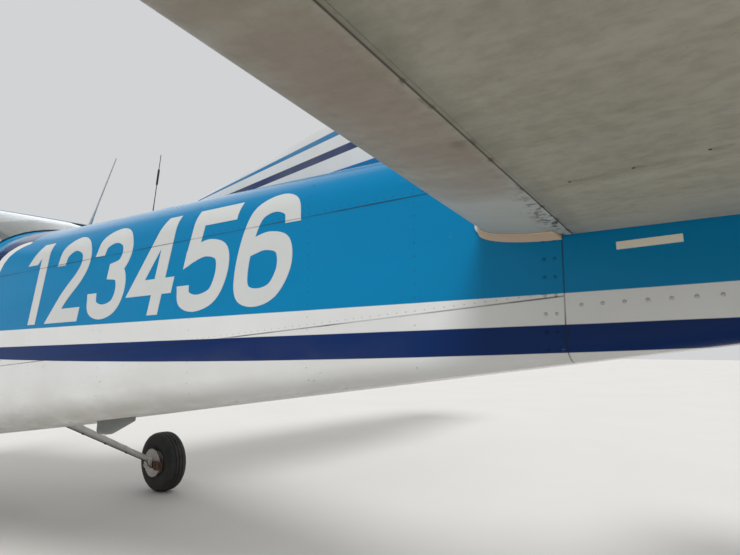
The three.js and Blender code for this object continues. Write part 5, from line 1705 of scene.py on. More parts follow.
@dataclass
class Cabin:
    """Cabin shell, glazing, doors and their seals."""
    wall: float = 0.032

    def stations(self, low: float, high: float) -> np.ndarray:
        """Stations about every inch and a quarter, with the frames among them."""
        inside = CABIN_FRAMES[:, 0][(CABIN_FRAMES[:, 0] > low) & (CABIN_FRAMES[:, 0] < high)]
        return np.unique(np.concatenate([np.linspace(low, high, max(2, int((high - low) / 1.25))), inside]))

    def body(self, inward: float, low: float = 8.0, high: float = 108.0) -> Shape:
        """Solid within the hull, shrunk by a distance."""
        return loft(CABIN.rings(self.stations(low, high), inward))

    def shell(self, name: str, finish: Finish, body: Body) -> bpy.types.Object:
        """Hollow cabin as one piece."""
        made = Soup().add(*self.body(0.0)).piece(name, finish, body)
        return carve(made, [cutter(*self.body(self.wall, 9.0, 107.4))])

    @staticmethod
    def line_inside(made: bpy.types.Object) -> None:
        """Give the faces that look towards the cabin's middle line the trim finish."""
        mesh = made.data
        mesh.materials.append(material_of(PALETTE.lining))
        spots, normals = vectors(mesh.polygons, "center"), vectors(mesh.polygons, "normal")
        inward = (spots[:, [0, 2]] - (0.0, 1.25)) * normals[:, [0, 2]]
        inside = inward.sum(1) < -0.05
        mesh.polygons.foreach_set("material_index", inside.astype(np.int32))
        mesh.update()

    def tub(self) -> None:
        """Shell with its openings and the raised rear floor panel."""
        made = self.shell("cabin_shell", PALETTE.hull, Body.AIRFRAME)
        tools = [prism(WINDSHIELD, -REACH, REACH), prism(REAR_WINDOW, -REACH, REACH, 0.030),
                 prism(BAGGAGE_DOOR, 0.0, REACH, 0.030)]
        for low in (-REACH, 0.0):
            tools += [prism(DOOR, low, low + REACH, 0.060), prism(SIDE_WINDOW, low, low + REACH, 0.045)]
        carve(made, tools)
        self.line_inside(made)
        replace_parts(made, "cabin_tub", "cabin_frame")
        carpet = Soup().add(*block(-0.430, 0.430, at(50) - 0.009, at(58) - 0.043, 0.6225, 0.626, 0.001))
        carpet.piece("rear_floor_panel", PALETTE.cloth, Body.AIRFRAME)

    def pane(self, name: str, corners: list, low: float, high: float, radius: float, body: Body,
             stands_for: str) -> None:
        """Glazing 6 mm thick, 2 mm below the skin, within an outline."""
        made = Soup().add(*self.body(0.002)).piece(name, PALETTE.clear, body)
        carve(made, [cutter(*self.body(0.008))])
        carve(made, [prism(corners, low, high, radius, 0.0003)], True)
        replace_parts(made, stands_for)

    def seal_path(self, corners: list, radius: float, sign: int, grow: float = 0.004,
                  steps: int = 10) -> tuple[np.ndarray, np.ndarray]:
        """Closed line on the skin, just outside an outline, with its normals."""
        ring = side_outline(corners, radius + grow, -grow)
        ends = np.concatenate([ring, ring[:1]])
        t = np.linspace(0, 1, steps)[:-1, None]
        fine = np.concatenate([a + (b - a) * t for a, b in zip(ends[:-1], ends[1:])
                               if np.linalg.norm(b - a) > 1e-5])
        keep = np.concatenate([[True], np.linalg.norm(np.diff(fine, axis=0), axis=1) > 0.0015])
        return CABIN.on_side(fine[keep][:, 0], fine[keep][:, 1], sign)

    def seals(self) -> None:
        """Rubber round the side windows, and black beads along the windshield and the rear window."""
        fixed = Soup()
        for side in Side:
            s = side.value
            points, normals = self.seal_path(SIDE_WINDOW, 0.045, s)
            fixed.add(*swept(points, slab(0.013, 0.0022), normals, True))
            moving = Soup()
            points, normals = self.seal_path(DOOR_WINDOW, 0.050, s)
            moving.add(*swept(points, slab(0.013, 0.0022), normals, True))
            moving.piece(f"door_window_seal_{side.word}", PALETTE.seal, Body(f"door_{side.word}"), 30.0)
            for corners, count, width in (([(71.0, 1.905), (71.0, 1.890), (89.0, 1.600),
                                            (106.0, 1.536)], 24, 0.018),
                                          ([(8.6, 1.5765), (17.0, 1.5765), (29.6, 1.918)], 30, 0.016)):
                path = np.array([[at(a), b] for a, b in corners])
                fine = np.concatenate([np.linspace(a, b, count)[:-1] for a, b in zip(path[:-1], path[1:])]
                                      + [path[-1:]])
                keep = fine[:, 1] < CABIN.sizes(fine[:, 0] / INCH + MID_STATION)[2] - 0.004
                points, normals = CABIN.on_side(fine[keep][:, 0], fine[keep][:, 1], s)
                fixed.add(*swept(points, slab(width, 0.0026), normals))
        for station, low in ((106.7, 1.545), (8.2, 1.50)):
            ring = CABIN.rings(np.array([station]))[0]
            high = ring[ring[:, 2] > low]
            line = high[np.argsort(high[:, 0])]
            line = line[np.concatenate([[True], np.linalg.norm(np.diff(line, axis=0), axis=1) > 1e-4])]
            middle = np.array([0.0, line[0, 1], low - 0.3])
            fixed.add(*swept(line, slab(0.018, 0.0026), line - middle))
        fixed.piece("window_seals", PALETTE.seal, Body.AIRFRAME, 30.0)

    def door(self, side: Side) -> None:
        """Door skin, window, hinge knuckles, outside handle, inner handle and arm rest."""
        low = 0.0 if side is Side.LEFT else -REACH
        s, body = side.value, Body(f"door_{side.word}")
        made = self.shell(f"door_skin_{side.word}", PALETTE.hull, body)
        carve(made, [prism(DOOR, low, low + REACH, 0.060, 0.006)], True)
        carve(made, [prism(DOOR_WINDOW, low, low + REACH, 0.050)])
        self.line_inside(made)
        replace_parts(made, f"cabin_door_{side.word}")
        self.pane(f"door_glass_{side.word}", DOOR_WINDOW, low, low + REACH, 0.050, body,
                  f"door_window_{side.word}")
        inner = Soup()
        trim, fixed = knuckles(0.532 * s, at(20.5) + 0.0046, (0.930, 1.330))
        fixed.piece(f"door_hinges_{side.word}", PALETTE.white, Body.AIRFRAME)
        # Handle: a flush plate with a paddle and a round lock.
        y = np.linspace(at(51.5), at(54.7), 10)
        points, normals = CABIN.on_side(y, np.full_like(y, 1.27), s, 0.0)
        trim.add(*swept(points,
                        np.array([[-0.014, 0], [-0.014, 0.002], [-0.010, 0.0035], [0.010, 0.0035],
                                  [0.014, 0.002],
                                          [0.014, 0]]), normals))
        points, normals = CABIN.on_side(y[2:], np.full_like(y[2:], 1.27), s, 0.0037)
        trim.add(*swept(points, np.array([[-0.0085, 0], [-0.0085, 0.003], [-0.006, 0.0048], [0.006, 0.0048],
                                          [0.0085, 0.003], [0.0085, 0]]), normals))
        trim.add(*turned([(0.0005, 0.0), (0.009, 0.0), (0.009, 0.002), (0.007, 0.0032), (0.0005, 0.0032)]
                         if s > 0 else [(0.0005, 0.0), (0.009, 0.0), (0.009, -0.002), (0.007, -0.0032),
                                        (0.0005, -0.0032)],
                         (0.530 * s, at(55.4), 1.215), 0, 28))
        trim.piece(f"door_handle_{side.word}", PALETTE.alloy, body, 30.0)
        wall = 0.530 - self.wall
        inner.add(*block((wall - 0.045) * s, (wall - 0.0005) * s, at(28), at(46), 1.06, 1.105, 0.012))
        inner.add(*block((wall - 0.012) * s, (wall - 0.0005) * s, at(24.5), at(53), 0.86, 1.40, 0.006))
        inner.add(*block((wall - 0.03) * s, (wall - 0.013) * s, at(26), at(29.6), 1.20, 1.222, 0.006))
        inner.piece(f"door_lining_{side.word}", PALETTE.cloth, body, 30.0)

    def baggage(self) -> None:
        """Baggage door with its hinge and lock."""
        made = self.shell("baggage_skin", PALETTE.hull, Body.BAGGAGE)
        carve(made, [prism(BAGGAGE_DOOR, 0.0, REACH, 0.030, 0.006)], True)
        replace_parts(made, "baggage_door")
        lock, fixed = knuckles(0.467, at(89) + 0.004, (1.040, 1.300))
        x = float(CABIN.side(np.array([at(102.2)]), np.array([1.18]))[0])
        lock.add(*turned([(0.0005, -0.001), (0.011, -0.001), (0.011, 0.002), (0.009, 0.003), (0.0005, 0.003)],
                         (x, at(102.2), 1.18), 0, 28))
        lock.piece("baggage_lock", PALETTE.alloy, Body.BAGGAGE, 30.0)
        fixed.piece("baggage_hinges", PALETTE.hull, Body.AIRFRAME)

    def roof(self, wing: Wing) -> None:
        """Top skin between the wings, on their root section, sloping down to the windshield and behind."""
        rows = np.array([wing.row(0.548, Side.LEFT, 0.0, 0.999) for _ in range(2)])
        rows[0, :, 0], rows[1, :, 0] = -0.5467, 0.5467
        made = Soup().add(*loft(rows)).piece("roof_skin", PALETTE.white, Body.AIRFRAME, 35.0)
        carve(made,
              [prism([(28.4, 1.9503), (65, 1.9503), (65, 1.958), (50, 2.160), (36, 2.160)], -REACH, REACH)],
              True)
        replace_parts(made, "cabin_roof")

    def rivets(self) -> None:
        """Flush rivets along the frames and stringers of the cabin sides."""
        rivets = Rivets()
        for side in Side:
            for station, low, high in ((18.5, 0.72, 1.50), (58.3, 0.70, 1.79), (87.0, 0.78, 1.52),
                                       (106.0, 0.86, 1.48)):
                z = np.arange(low, high, 0.032)
                rivets.along(*CABIN.on_side(np.full_like(z, at(station)), z, side.value))
            for height, low, high in ((0.74, 14, 106), (1.44, 60, 104)):
                y = np.arange(at(low), at(high), 0.034)
                z = height + np.clip(y - at(66), 0, 9) * (0.16 if height < 1 else 0.02)
                rivets.along(*CABIN.on_side(y, z, side.value))
        rivets.soup.piece("cabin_rivets", PALETTE.hull, Body.AIRFRAME, 60.0)

    def build(self, wing: Wing) -> None:
        """The whole cabin."""
        self.tub()
        self.pane("windshield_pane", WINDSHIELD, -REACH, REACH, 0.0, Body.AIRFRAME, "windshield")
        self.pane("rear_pane", REAR_WINDOW, -REACH, REACH, 0.030, Body.AIRFRAME, "rear_window")
        for side in Side:
            low = 0.0 if side is Side.LEFT else -REACH
            self.pane(f"side_pane_{side.word}", SIDE_WINDOW, low, low + REACH, 0.045, Body.AIRFRAME,
                      f"side_window_{side.word}")
            self.door(side)
        self.baggage()
        self.seals()
        self.roof(wing)
        self.rivets()


def knuckles(x: float, y: float, heights: Sequence[float]) -> tuple[Soup, Soup]:
    """Moving and fixed knuckles of butt hinges with upright pins, at each height."""
    moving, fixed = Soup(), Soup()
    for height in heights:
        for store, low, high in ((moving, -0.0297, 0.0297), (fixed, -0.054, -0.0303), (fixed, 0.0303, 0.054)):
            z0, z1 = height + low, height + high
            store.add(*turned([(0.0005, z0), (0.0066, z0), (0.007, z0 + 0.0006), (0.007, z1 - 0.0006),
                               (0.0066, z1),
                               (0.0005, z1)], (x, y, 0.0), 2, 24))
    return moving, fixed


def rod(start: Sequence[float], end: Sequence[float], radius: float, end_radius: float | None = None,
        count: int = 32) -> Shape:
    """Round bar between two points with small chamfers at its ends."""
    a, b = np.asarray(start, float), np.asarray(end, float)
    long = float(np.linalg.norm(b - a))
    edge = min(0.0015, radius * 0.3, long * 0.2) / long
    last = radius if end_radius is None else end_radius
    t = np.array([0.0, edge, 1 - edge, 1.0])
    size = (radius + (last - radius) * t) * np.array([1 - 0.0012 / radius, 1, 1, 1 - 0.0012 / last])
    up = (0.0, 0.0, 1.0) if abs(b[2] - a[2]) < 0.9 * long else (1.0, 0.0, 0.0)
    axis = (b - a) / long
    side = np.cross(axis, up)
    side /= np.linalg.norm(side)
    lift = np.cross(side, axis)
    angle = np.arange(count) / count * 2 * np.pi
    rows = (a + (b - a) * t[:, None])[:, None] + size[:, None, None] * (
        np.cos(angle)[None, :, None] * side + np.sin(angle)[None, :, None] * lift)
    return loft(rows)


# Undercarriage
Profile = list[tuple[float, float]]


def both_halves(half: Profile) -> Profile:
    """Closed loop of (radius, offset) from the half with negative offsets."""
    return half + [(r, -o) for r, o in half[::-1]] + half[:1]


@dataclass
class MainGear:
    """Tubular main leg with axle and brake, its wheel and tyre."""
    axle_y: float = at(58.2)
    x: float = 1.275
    radius: float = 0.2225
    half: float = 0.078
    rim: float = 0.088
    leg_radius: tuple[float, float] = (0.028, 0.019)

    @staticmethod
    def tyre(x: float, y: float, radius: float, half: float, rim: float) -> Shape:
        """Tyre section: bead, rounded wall, shoulder and a crown with three grooves."""
        wall = [(rim, -0.62), (rim + 0.006, -0.74), (rim + 0.014, -0.82),
                (rim + (radius - rim) * 0.35, -0.975),
                (rim + (radius - rim) * 0.52, -1.0), (rim + (radius - rim) * 0.7, -0.985),
                (radius - 0.020, -0.90),
                (radius - 0.0105, -0.78), (radius - 0.005, -0.64), (radius - 0.0024, -0.50)]
        tread = []
        for middle in (-0.36, 0.0, 0.36):
            tread += [(radius - 0.0010 * abs(middle) * 3, middle - 0.058), (radius - 0.0055, middle - 0.042),
                      (radius - 0.0055, middle + 0.042), (radius - 0.0010 * abs(middle) * 3, middle + 0.058)]
        loop = wall + tread + [(r, -w) for r, w in wall[::-1]]
        return turned([(r, w * half) for r, w in loop + loop[:1]], (x, y, radius), 0, 112)

    def wheel(self, side: Side) -> None:
        """Cast hub halves with bolts, the rotor and its hat, and the tyre valve."""
        s, body = side.value, Body(f"main_wheel_{side.word}")
        centre = (self.x * s, self.axle_y, self.radius)
        tyre = Soup().add(*self.tyre(*centre[:2], self.radius, self.half, self.rim))
        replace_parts(tyre.piece(f"main_tread_{side.word}", PALETTE.rubber, body, 28.0),
                    f"main_tyre_{side.word}")
        w, bore, rim = self.half * 0.78, 0.0205, self.rim - 0.0004
        half = [(bore, -w), (0.034, -w), (0.036, -w + 0.003), (0.040, -w * 0.55), (0.048, -w * 0.5),
                (rim - 0.020, -w * 0.5), (rim - 0.014, -w * 0.6), (rim - 0.010, -w + 0.003),
                (rim - 0.007, -w), (rim, -w)]
        hub = Soup().add(*turned(both_halves(half), centre, 0, 72))
        bolts, steel = Soup(), Soup()
        for k in range(6):
            a = k / 6 * 2 * math.pi + 0.3
            for out in (1, -1):
                spot = np.array([centre[0] + out * w * 0.5, centre[1] + 0.056 * math.cos(a),
                                 centre[2] + 0.056 * math.sin(a)])
                steel.add(*rod(spot, spot + (out * 0.009, 0, 0), 0.0075, 0.0072, 6))
                steel.add(*rod(spot, spot + (out * 0.014, 0, 0), 0.0035, 0.0034, 12))
                bolts.add(*rod(spot - (out * 0.0004, 0, 0), spot + (out * 0.002, 0, 0), 0.011, 0.0108, 24))
        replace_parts(hub.piece(f"main_hub_{side.word}", PALETTE.wheel_white, body, 30.0),
                    f"main_wheel_{side.word}")
        bolts.piece(f"main_washers_{side.word}", PALETTE.wheel_white, body, 30.0)
        steel.piece(f"main_bolts_{side.word}", PALETTE.steel, body, 30.0)
        rotor = [(bore, -0.106), (0.036, -0.106), (0.038, -0.104), (0.046, -0.098), (0.104, -0.098),
                 (0.105, -0.097),
                 (0.105, -0.092), (0.104, -0.091), (0.060, -0.091), (0.058, -0.089), (0.058, -w + 0.0006),
                 (bore, -w + 0.0006), (bore, -0.106)]
        # The rotor's pale paint is a painted highlight standing in for the sheen of bright steel.
        disc = Soup().add(*turned([(r, o * s) for r, o in rotor], centre, 0, 72))
        disc.piece(f"main_rotor_{side.word}", PALETTE.rotor, body, 30.0)
        valve = Soup().add(*rod((centre[0] + s * w * 0.48, centre[1], centre[2] + 0.066),
                                (centre[0] + s * (w * 0.5 + 0.022), centre[1], centre[2] + 0.070),
                                0.004, 0.003, 16))
        valve.piece(f"main_valve_{side.word}", PALETTE.black, body, 30.0)

    def leg(self, side: Side) -> None:
        """Tapered leg, axle stub with nut, torque plate, caliper, and the brake line with its clamps."""
        s = side.value
        start, end = np.array([0.430 * s, at(56.2), 0.652]), np.array([1.146 * s, self.axle_y, 0.256])
        way = end - start
        t0 = 0.10
        soup = Soup().add(*rod(start + way * t0, end, self.leg_radius[0], self.leg_radius[1], 48))
        soup.add(*rod(start + way * t0, start + way * (t0 + 0.075), 0.036, 0.031, 48))
        soup.add(*block(1.1305 * s, 1.162 * s, self.axle_y - 0.038, self.axle_y + 0.038, 0.190, 0.270, 0.006))
        steel = Soup().add(*rod((1.140 * s, self.axle_y, self.radius), (1.336 * s, self.axle_y, self.radius),
                                0.019, 0.019, 40))
        steel.add(*rod((1.337 * s, self.axle_y, self.radius), (1.3455 * s, self.axle_y, self.radius),
                       0.0165, 0.016, 6))
        for dy, dz in ((-0.027, 0.026), (0.027, 0.026), (-0.027, -0.020), (0.027, -0.020)):
            spot = np.array([1.1300 * s, self.axle_y + dy, 0.230 + dz])
            steel.add(*rod(spot, spot - (0.007 * s, 0, 0), 0.007, 0.0068, 6))
        steel.piece(f"axle_{side.word}", PALETTE.steel, Body.AIRFRAME, 35.0)
        brake = Soup()
        y = self.axle_y
        brake.add(*block(1.1625 * s, 1.1712 * s, y - 0.018, y + 0.118, 0.192, 0.238, 0.004))
        brake.add(*block(1.1505 * s, 1.1712 * s, y + 0.062, y + 0.121, 0.182, 0.249, 0.008))
        brake.add(*block(1.1717 * s, 1.1895 * s, y + 0.1135, y + 0.1215, 0.184, 0.247, 0.003))
        brake.add(*block(1.1898 * s, 1.1948 * s, y + 0.064, y + 0.1205, 0.186, 0.245, 0.002))
        for dz in (0.198, 0.232):
            brake.add(*rod((1.140 * s, y + 0.092, dz), (1.1505 * s, y + 0.092, dz), 0.009, 0.0085, 20))
        brake.piece(f"caliper_{side.word}", PALETTE.caliper, Body.AIRFRAME, 35.0)
        line = Soup()
        below = np.array([0.0, 0.026, -0.030])
        corners = [start + way * t + below * (1.15 - 0.3 * t) for t in (0.14, 0.35, 0.6, 0.85, 0.96)]
        corners += [(1.118 * s, y + 0.055, 0.222), (1.132 * s, y + 0.082, 0.205),
                    (1.150 * s, y + 0.088, 0.202)]
        path = smooth_path(corners, 90)
        line.add(*swept(path, circle(0.0032, 12), (0, 1, 0)))
        for t in (0.30, 0.52, 0.74):
            middle = start + way * t
            radius = np.interp(t, (t0, 1.0), self.leg_radius) + 0.0006
            axis = way / np.linalg.norm(way)
            angle = np.linspace(0, 2 * np.pi, 41)[:-1]
            one = np.cross(axis, (0, 1, 0))
            one /= np.linalg.norm(one)
            two = np.cross(axis, one)
            loop = middle + radius * (np.cos(angle)[:, None] * one + np.sin(angle)[:, None] * two)
            soup.add(*swept(loop,
                            np.array([[-0.006, -0.0004], [-0.006, 0.0012], [0.006, 0.0012],
                                      [0.006, -0.0004]]),
                            loop - middle, True))
            spot = middle + below * (1.15 - 0.3 * t)
            line.add(*rod(spot - axis * 0.006, spot + axis * 0.006, 0.0062, 0.0062, 20))
        line.piece(f"brake_line_{side.word}", PALETTE.black, Body.AIRFRAME, 40.0)
        made = soup.piece(f"leg_tube_{side.word}", PALETTE.leg, Body.AIRFRAME, 35.0)
        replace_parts(made, f"main_leg_{side.word}")

    def build(self) -> None:
        """Both sides."""
        for side in Side:
            self.wheel(side)
            self.leg(side)


@dataclass
class NoseGear:
    """Raked oleo leg with fork, links and wheel."""
    y: float = at(-7.0)
    radius: float = 0.1805
    rake: float = 14.0

    def lean(self, data: Shape) -> Shape:
        """Tilt a shape about the axle so that its top leans aft."""
        p, faces = data
        a = math.radians(-self.rake)
        turn = np.array([[1, 0, 0], [0, math.cos(a), -math.sin(a)], [0, math.sin(a), math.cos(a)]])
        return np.asarray(p).reshape(-1, 3) @ turn.T + np.array([0, self.y, self.radius]), faces

    def build(self) -> None:
        """Sleeve, mounts, tube, fork, torque links, collar, wheel and tyre."""
        fixed = Soup()
        sleeve = [(0.0287, 0.440), (0.038, 0.440), (0.0385, 0.4406), (0.0385, 0.462), (0.036, 0.466),
                  (0.036, 0.836),
                  (0.0385, 0.840), (0.0385, 0.8594), (0.038, 0.860), (0.0287, 0.860), (0.0287, 0.440)]
        fixed.add(*self.lean(turned(sleeve, (0, 0, 0), 2, 48)))
        fixed.add(*block(-0.045, 0.045, at(-0.2), at(8) - 0.0003, 0.790, 0.830, 0.004))
        fixed.add(*block(-0.045, 0.045, at(2.2), at(8) - 0.0003, 0.960, 1.000, 0.004))
        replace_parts(fixed.piece("nose_leg_sleeve", PALETTE.leg, Body.AIRFRAME, 35.0), "nose_sleeve")
        chrome = Soup().add(*self.lean(rod((0, 0, 0.262), (0, 0, 0.790), 0.028, 0.028, 48)))
        chrome.piece("nose_leg_tube", PALETTE.alloy, Body.NOSE_LEG)
        fork = Soup()
        fork.add(*self.lean(block(-0.093, 0.093, -0.040, 0.040, 0.226, 0.262, 0.010)))
        for s in (1, -1):
            fork.add(*self.lean(block(s * 0.079, s * 0.093, -0.026, 0.026, -0.026, 0.236, 0.005)))
            fork.add(*self.lean(rod((s * 0.068, 0, 0), (s * 0.098, 0, 0), 0.026, 0.025, 36)))
        fork.add(*self.lean(rod((0, 0, 0.384), (0, 0, 0.414), 0.056, 0.056, 48)))
        for low, high, near, far in ((0.234, 0.254, 0.020, 0.120), (0.390, 0.408, 0.030, 0.120)):
            fork.add(*self.lean(block(-0.024, 0.024, near, far, low, high, 0.006)))
        fork.add(*self.lean(block(-0.020, 0.020, 0.104, 0.120, 0.240, 0.404, 0.005)))
        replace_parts(fork.piece("nose_fork_casting", PALETTE.leg, Body.NOSE_LEG, 35.0), "nose_fork")
        steel = Soup().add(*self.lean(rod((-0.096, 0, 0), (0.096, 0, 0), 0.012, 0.012, 32)))
        for s in (1, -1):
            steel.add(*self.lean(rod((s * 0.098, 0, 0), (s * 0.105, 0, 0), 0.0135, 0.013, 6)))
        for z in (0.244, 0.399):
            steel.add(*self.lean(rod((-0.027, 0.112, z), (0.027, 0.112, z), 0.006, 0.006, 20)))
        steel.piece("nose_axle", PALETTE.steel, Body.NOSE_LEG)
        tyre = Soup().add(*MainGear.tyre(0.0, self.y, self.radius, 0.062, 0.074))
        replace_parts(tyre.piece("nose_tread", PALETTE.rubber, Body.NOSE_WHEEL, 28.0), "nose_tyre")
        w, bore, rim = 0.0484, 0.0125, 0.0737
        half = [(bore, -w), (0.030, -w), (0.033, -w + 0.002), (0.040, -w * 0.55), (rim - 0.016, -w * 0.5),
                (rim - 0.009, -w + 0.002), (rim - 0.007, -w), (rim, -w)]
        hub = Soup().add(*turned(both_halves(half), (0, self.y, self.radius), 0, 64))
        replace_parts(hub.piece("nose_hub", PALETTE.wheel_white, Body.NOSE_WHEEL, 30.0), "nose_wheel")
        bolts = Soup()
        for k in range(6):
            a = k / 6 * 2 * math.pi
            for s in (1, -1):
                spot = np.array([s * w * 0.52, self.y + 0.047 * math.cos(a),
                                 self.radius + 0.047 * math.sin(a)])
                bolts.add(*rod(spot, spot + (s * 0.008, 0, 0), 0.0062, 0.006, 6))
        bolts.piece("nose_bolts", PALETTE.steel, Body.NOSE_WHEEL, 30.0)


# Nose
@dataclass
class Nose:
    """Cowling, engine, exhaust, propeller and spinner."""
    thrust: float = 1.250
    blades: np.ndarray = field(default_factory=lambda: np.array([
        [0.060, 0.078, 0.062, 48], [0.180, 0.118, 0.040, 40], [0.400, 0.150, 0.024, 28],
        [0.700, 0.140, 0.015, 19],
        [0.900, 0.104, 0.009, 14], [0.952, 0.060, 0.006, 13]]))

    def cowl(self) -> None:
        """Two halves of a thin shell with inlets, a slot for the leg and an outlet."""
        stations = np.unique(np.concatenate([np.linspace(-31, 7.99, 44), COWL_FRAMES[:-1, 0]]))
        inner = np.unique(np.concatenate([np.linspace(-30.8, 8.5, 40), COWL_FRAMES[1:-1, 0]]))
        for name, low, high in (("cowl_upper", self.thrust + 0.0003, 2.0), ("cowl_lower", 0.3, self.thrust)):
            made = Soup().add(*loft(COWL.rings(stations))).piece(f"{name}_skin", PALETTE.hull, Body.AIRFRAME)
            tools = [cutter(*loft(COWL.rings(inner, 0.004)))]
            for s in (1, -1):
                tools.append(prism([(-36, 1.190), (-28, 1.190), (-28, 1.330), (-36, 1.330)], s * 0.2 - 0.085,
                                   s * 0.2 + 0.085))
            tools.append(cutter(*rod((0, at(-36), self.thrust), (0, at(-28), self.thrust), 0.090, 0.090, 64)))
            tools.append(prism([(-6, 0.6), (3.6, 0.6), (3.6, 0.9), (-6, 0.9)], -0.075, 0.075))
            tools.append(prism([(1.5, 0.6), (9, 0.6), (9, 0.78), (1.5, 0.78)], -0.230, 0.230))
            carve(made, tools)
            carve(made, [prism([(-40, low), (7.985, low), (7.985, high), (-40, high)], -REACH, REACH)], True)
            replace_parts(made, name)
        rivets, lips = Rivets(), Soup()
        for s in (1, -1):
            y = np.arange(at(-25), at(7), 0.11)
            for height in (self.thrust - 0.018, self.thrust + 0.018):
                rivets.along(*COWL.on_side(y, np.full_like(y, height), s), BOLT)
            z = np.arange(0.86, 1.42, 0.085)
            rivets.along(*COWL.on_side(np.full_like(z, at(6.6)), z, s), BOLT)
            corners = [(s * 0.2 - 0.089, 1.186), (s * 0.2 + 0.089, 1.186), (s * 0.2 + 0.089, 1.334),
                       (s * 0.2 - 0.089, 1.334)]
            ring = rounded(corners, 0.014)
            loop = np.stack([ring[:, 0], np.full(len(ring), at(-31) - 0.0002), ring[:, 1]], 1)
            lips.add(*swept(loop, circle(0.0045, 14), (0, 1, 0), True))
        rivets.soup.piece("cowl_fasteners", PALETTE.steel, Body.AIRFRAME, 40.0)
        lips.piece("inlet_lips", PALETTE.hull, Body.AIRFRAME, 40.0)

    def engine(self) -> None:
        """Crankcase, four finned cylinders with rocker covers, and the shaft flange."""
        core = Soup()
        core.add(*block(-0.170, 0.170, at(-27), at(8) - 0.0003, 1.040, 1.405, 0.015))
        core.add(*rod((0, at(-28), self.thrust), (0, at(-34) + 0.0456, self.thrust), 0.055, 0.055, 48))
        core.add(*block(-0.060, 0.060, at(-29), at(-26), self.thrust - 0.060, self.thrust + 0.060, 0.01))
        covers = Soup()
        for s in (1, -1):
            for station in (-19.8, -9.6):
                profile = [(0.001, 0.168), (0.060, 0.168), (0.060, 0.175)]
                for k in range(14):
                    o = 0.180 + k * 0.0098
                    profile += [(0.062, o), (0.092, o + 0.001), (0.092, o + 0.003), (0.062, o + 0.004)]
                profile += [(0.070, 0.320), (0.070, 0.334), (0.001, 0.334)]
                core.add(*turned([(r, o * s) for r, o in profile], (0, at(station), 1.235), 0, 40))
                covers.add(*block(0.3345 * s, 0.3675 * s, at(station) - 0.062, at(station) + 0.062, 1.160,
                                  1.310, 0.016))
        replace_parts(core.piece("engine_core", PALETTE.iron, Body.AIRFRAME, 30.0), "engine_block")
        covers.piece("rocker_covers", PALETTE.alloy, Body.AIRFRAME, 35.0)

    def exhaust(self) -> None:
        """Bent open tailpipe below the cowl."""
        path = smooth_path([(-0.110, at(-2) + 0.012, 1.0), (-0.125, at(0.5), 0.93), (-0.150, at(4.6), 0.76),
                            (-0.1555, at(5.4), 0.69), (-0.160, at(6), 0.642)], 40)
        outer, _ = swept(path, circle(0.034, 40), (1, 0, 0))
        inner, _ = swept(path, circle(0.0322, 40), (1, 0, 0))
        soup = Soup().add(*sleeve(outer.reshape(40, 40, 3), inner.reshape(40, 40, 3)))
        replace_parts(soup.piece("tailpipe", PALETTE.pipe, Body.AIRFRAME, 35.0), "exhaust_pipe")

    def propeller(self) -> None:
        """Two twisted blades with oval sections, boss and spinner."""
        t = self.blades
        radius = np.concatenate([np.linspace(0.060, 0.90, 36), [0.915, 0.93, 0.94, 0.947, 0.951]])
        chord, thick, pitch = (np.interp(radius, t[:, 0], t[:, k]) for k in (1, 2, 3))
        angle = (np.arange(40) + 0.5) / 40 * 2 * np.pi
        u = chord[:, None] / 2 * np.cos(angle)
        v = thick[:, None] / 2 * np.sin(angle) * (1 + 0.3 * np.cos(angle))
        turn = np.radians(pitch)[:, None]
        rows = np.stack([np.broadcast_to(radius[:, None], u.shape), u * np.sin(turn) + v * np.cos(turn),
                         u * np.cos(turn) - v * np.sin(turn)], -1)
        a = math.radians(24)
        spin = np.array([[math.cos(a), 0, math.sin(a)], [0, 1, 0], [-math.sin(a), 0, math.cos(a)]])
        centre = np.array([0, at(-34), self.thrust])
        soup = Soup()
        for flip in (1, -1):
            blade = rows * (flip, 1, flip)
            soup.add(*loft(blade @ spin.T + centre))
        soup.add(*rod((0, at(-34) - 0.045, self.thrust), (0, at(-34) + 0.045, self.thrust), 0.082, 0.082, 56))
        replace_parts(soup.piece("propeller_blades", PALETTE.prop, Body.PROPELLER, 35.0), "propeller")
        base, tip = at(-34) + 0.050, at(-41)
        share = np.sin(np.linspace(0.02, 1, 30) * np.pi / 2)
        profile = [(0.165 * float(r), tip + (base - tip) * float(1 - math.sqrt(max(1 - r ** 2, 0)) ** 0.9))
                   for r in share]
        profile = profile + [(0.162, base), (0.001, base)]
        made = Soup().add(*turned(profile, (0, 0, self.thrust), 1, 72))
        piece = made.piece("spinner_shell", PALETTE.white, Body.PROPELLER, 35.0)
        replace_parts(piece, "spinner")

    def build(self) -> None:
        """The whole nose."""
        self.cowl()
        self.engine()
        self.exhaust()
        self.propeller()


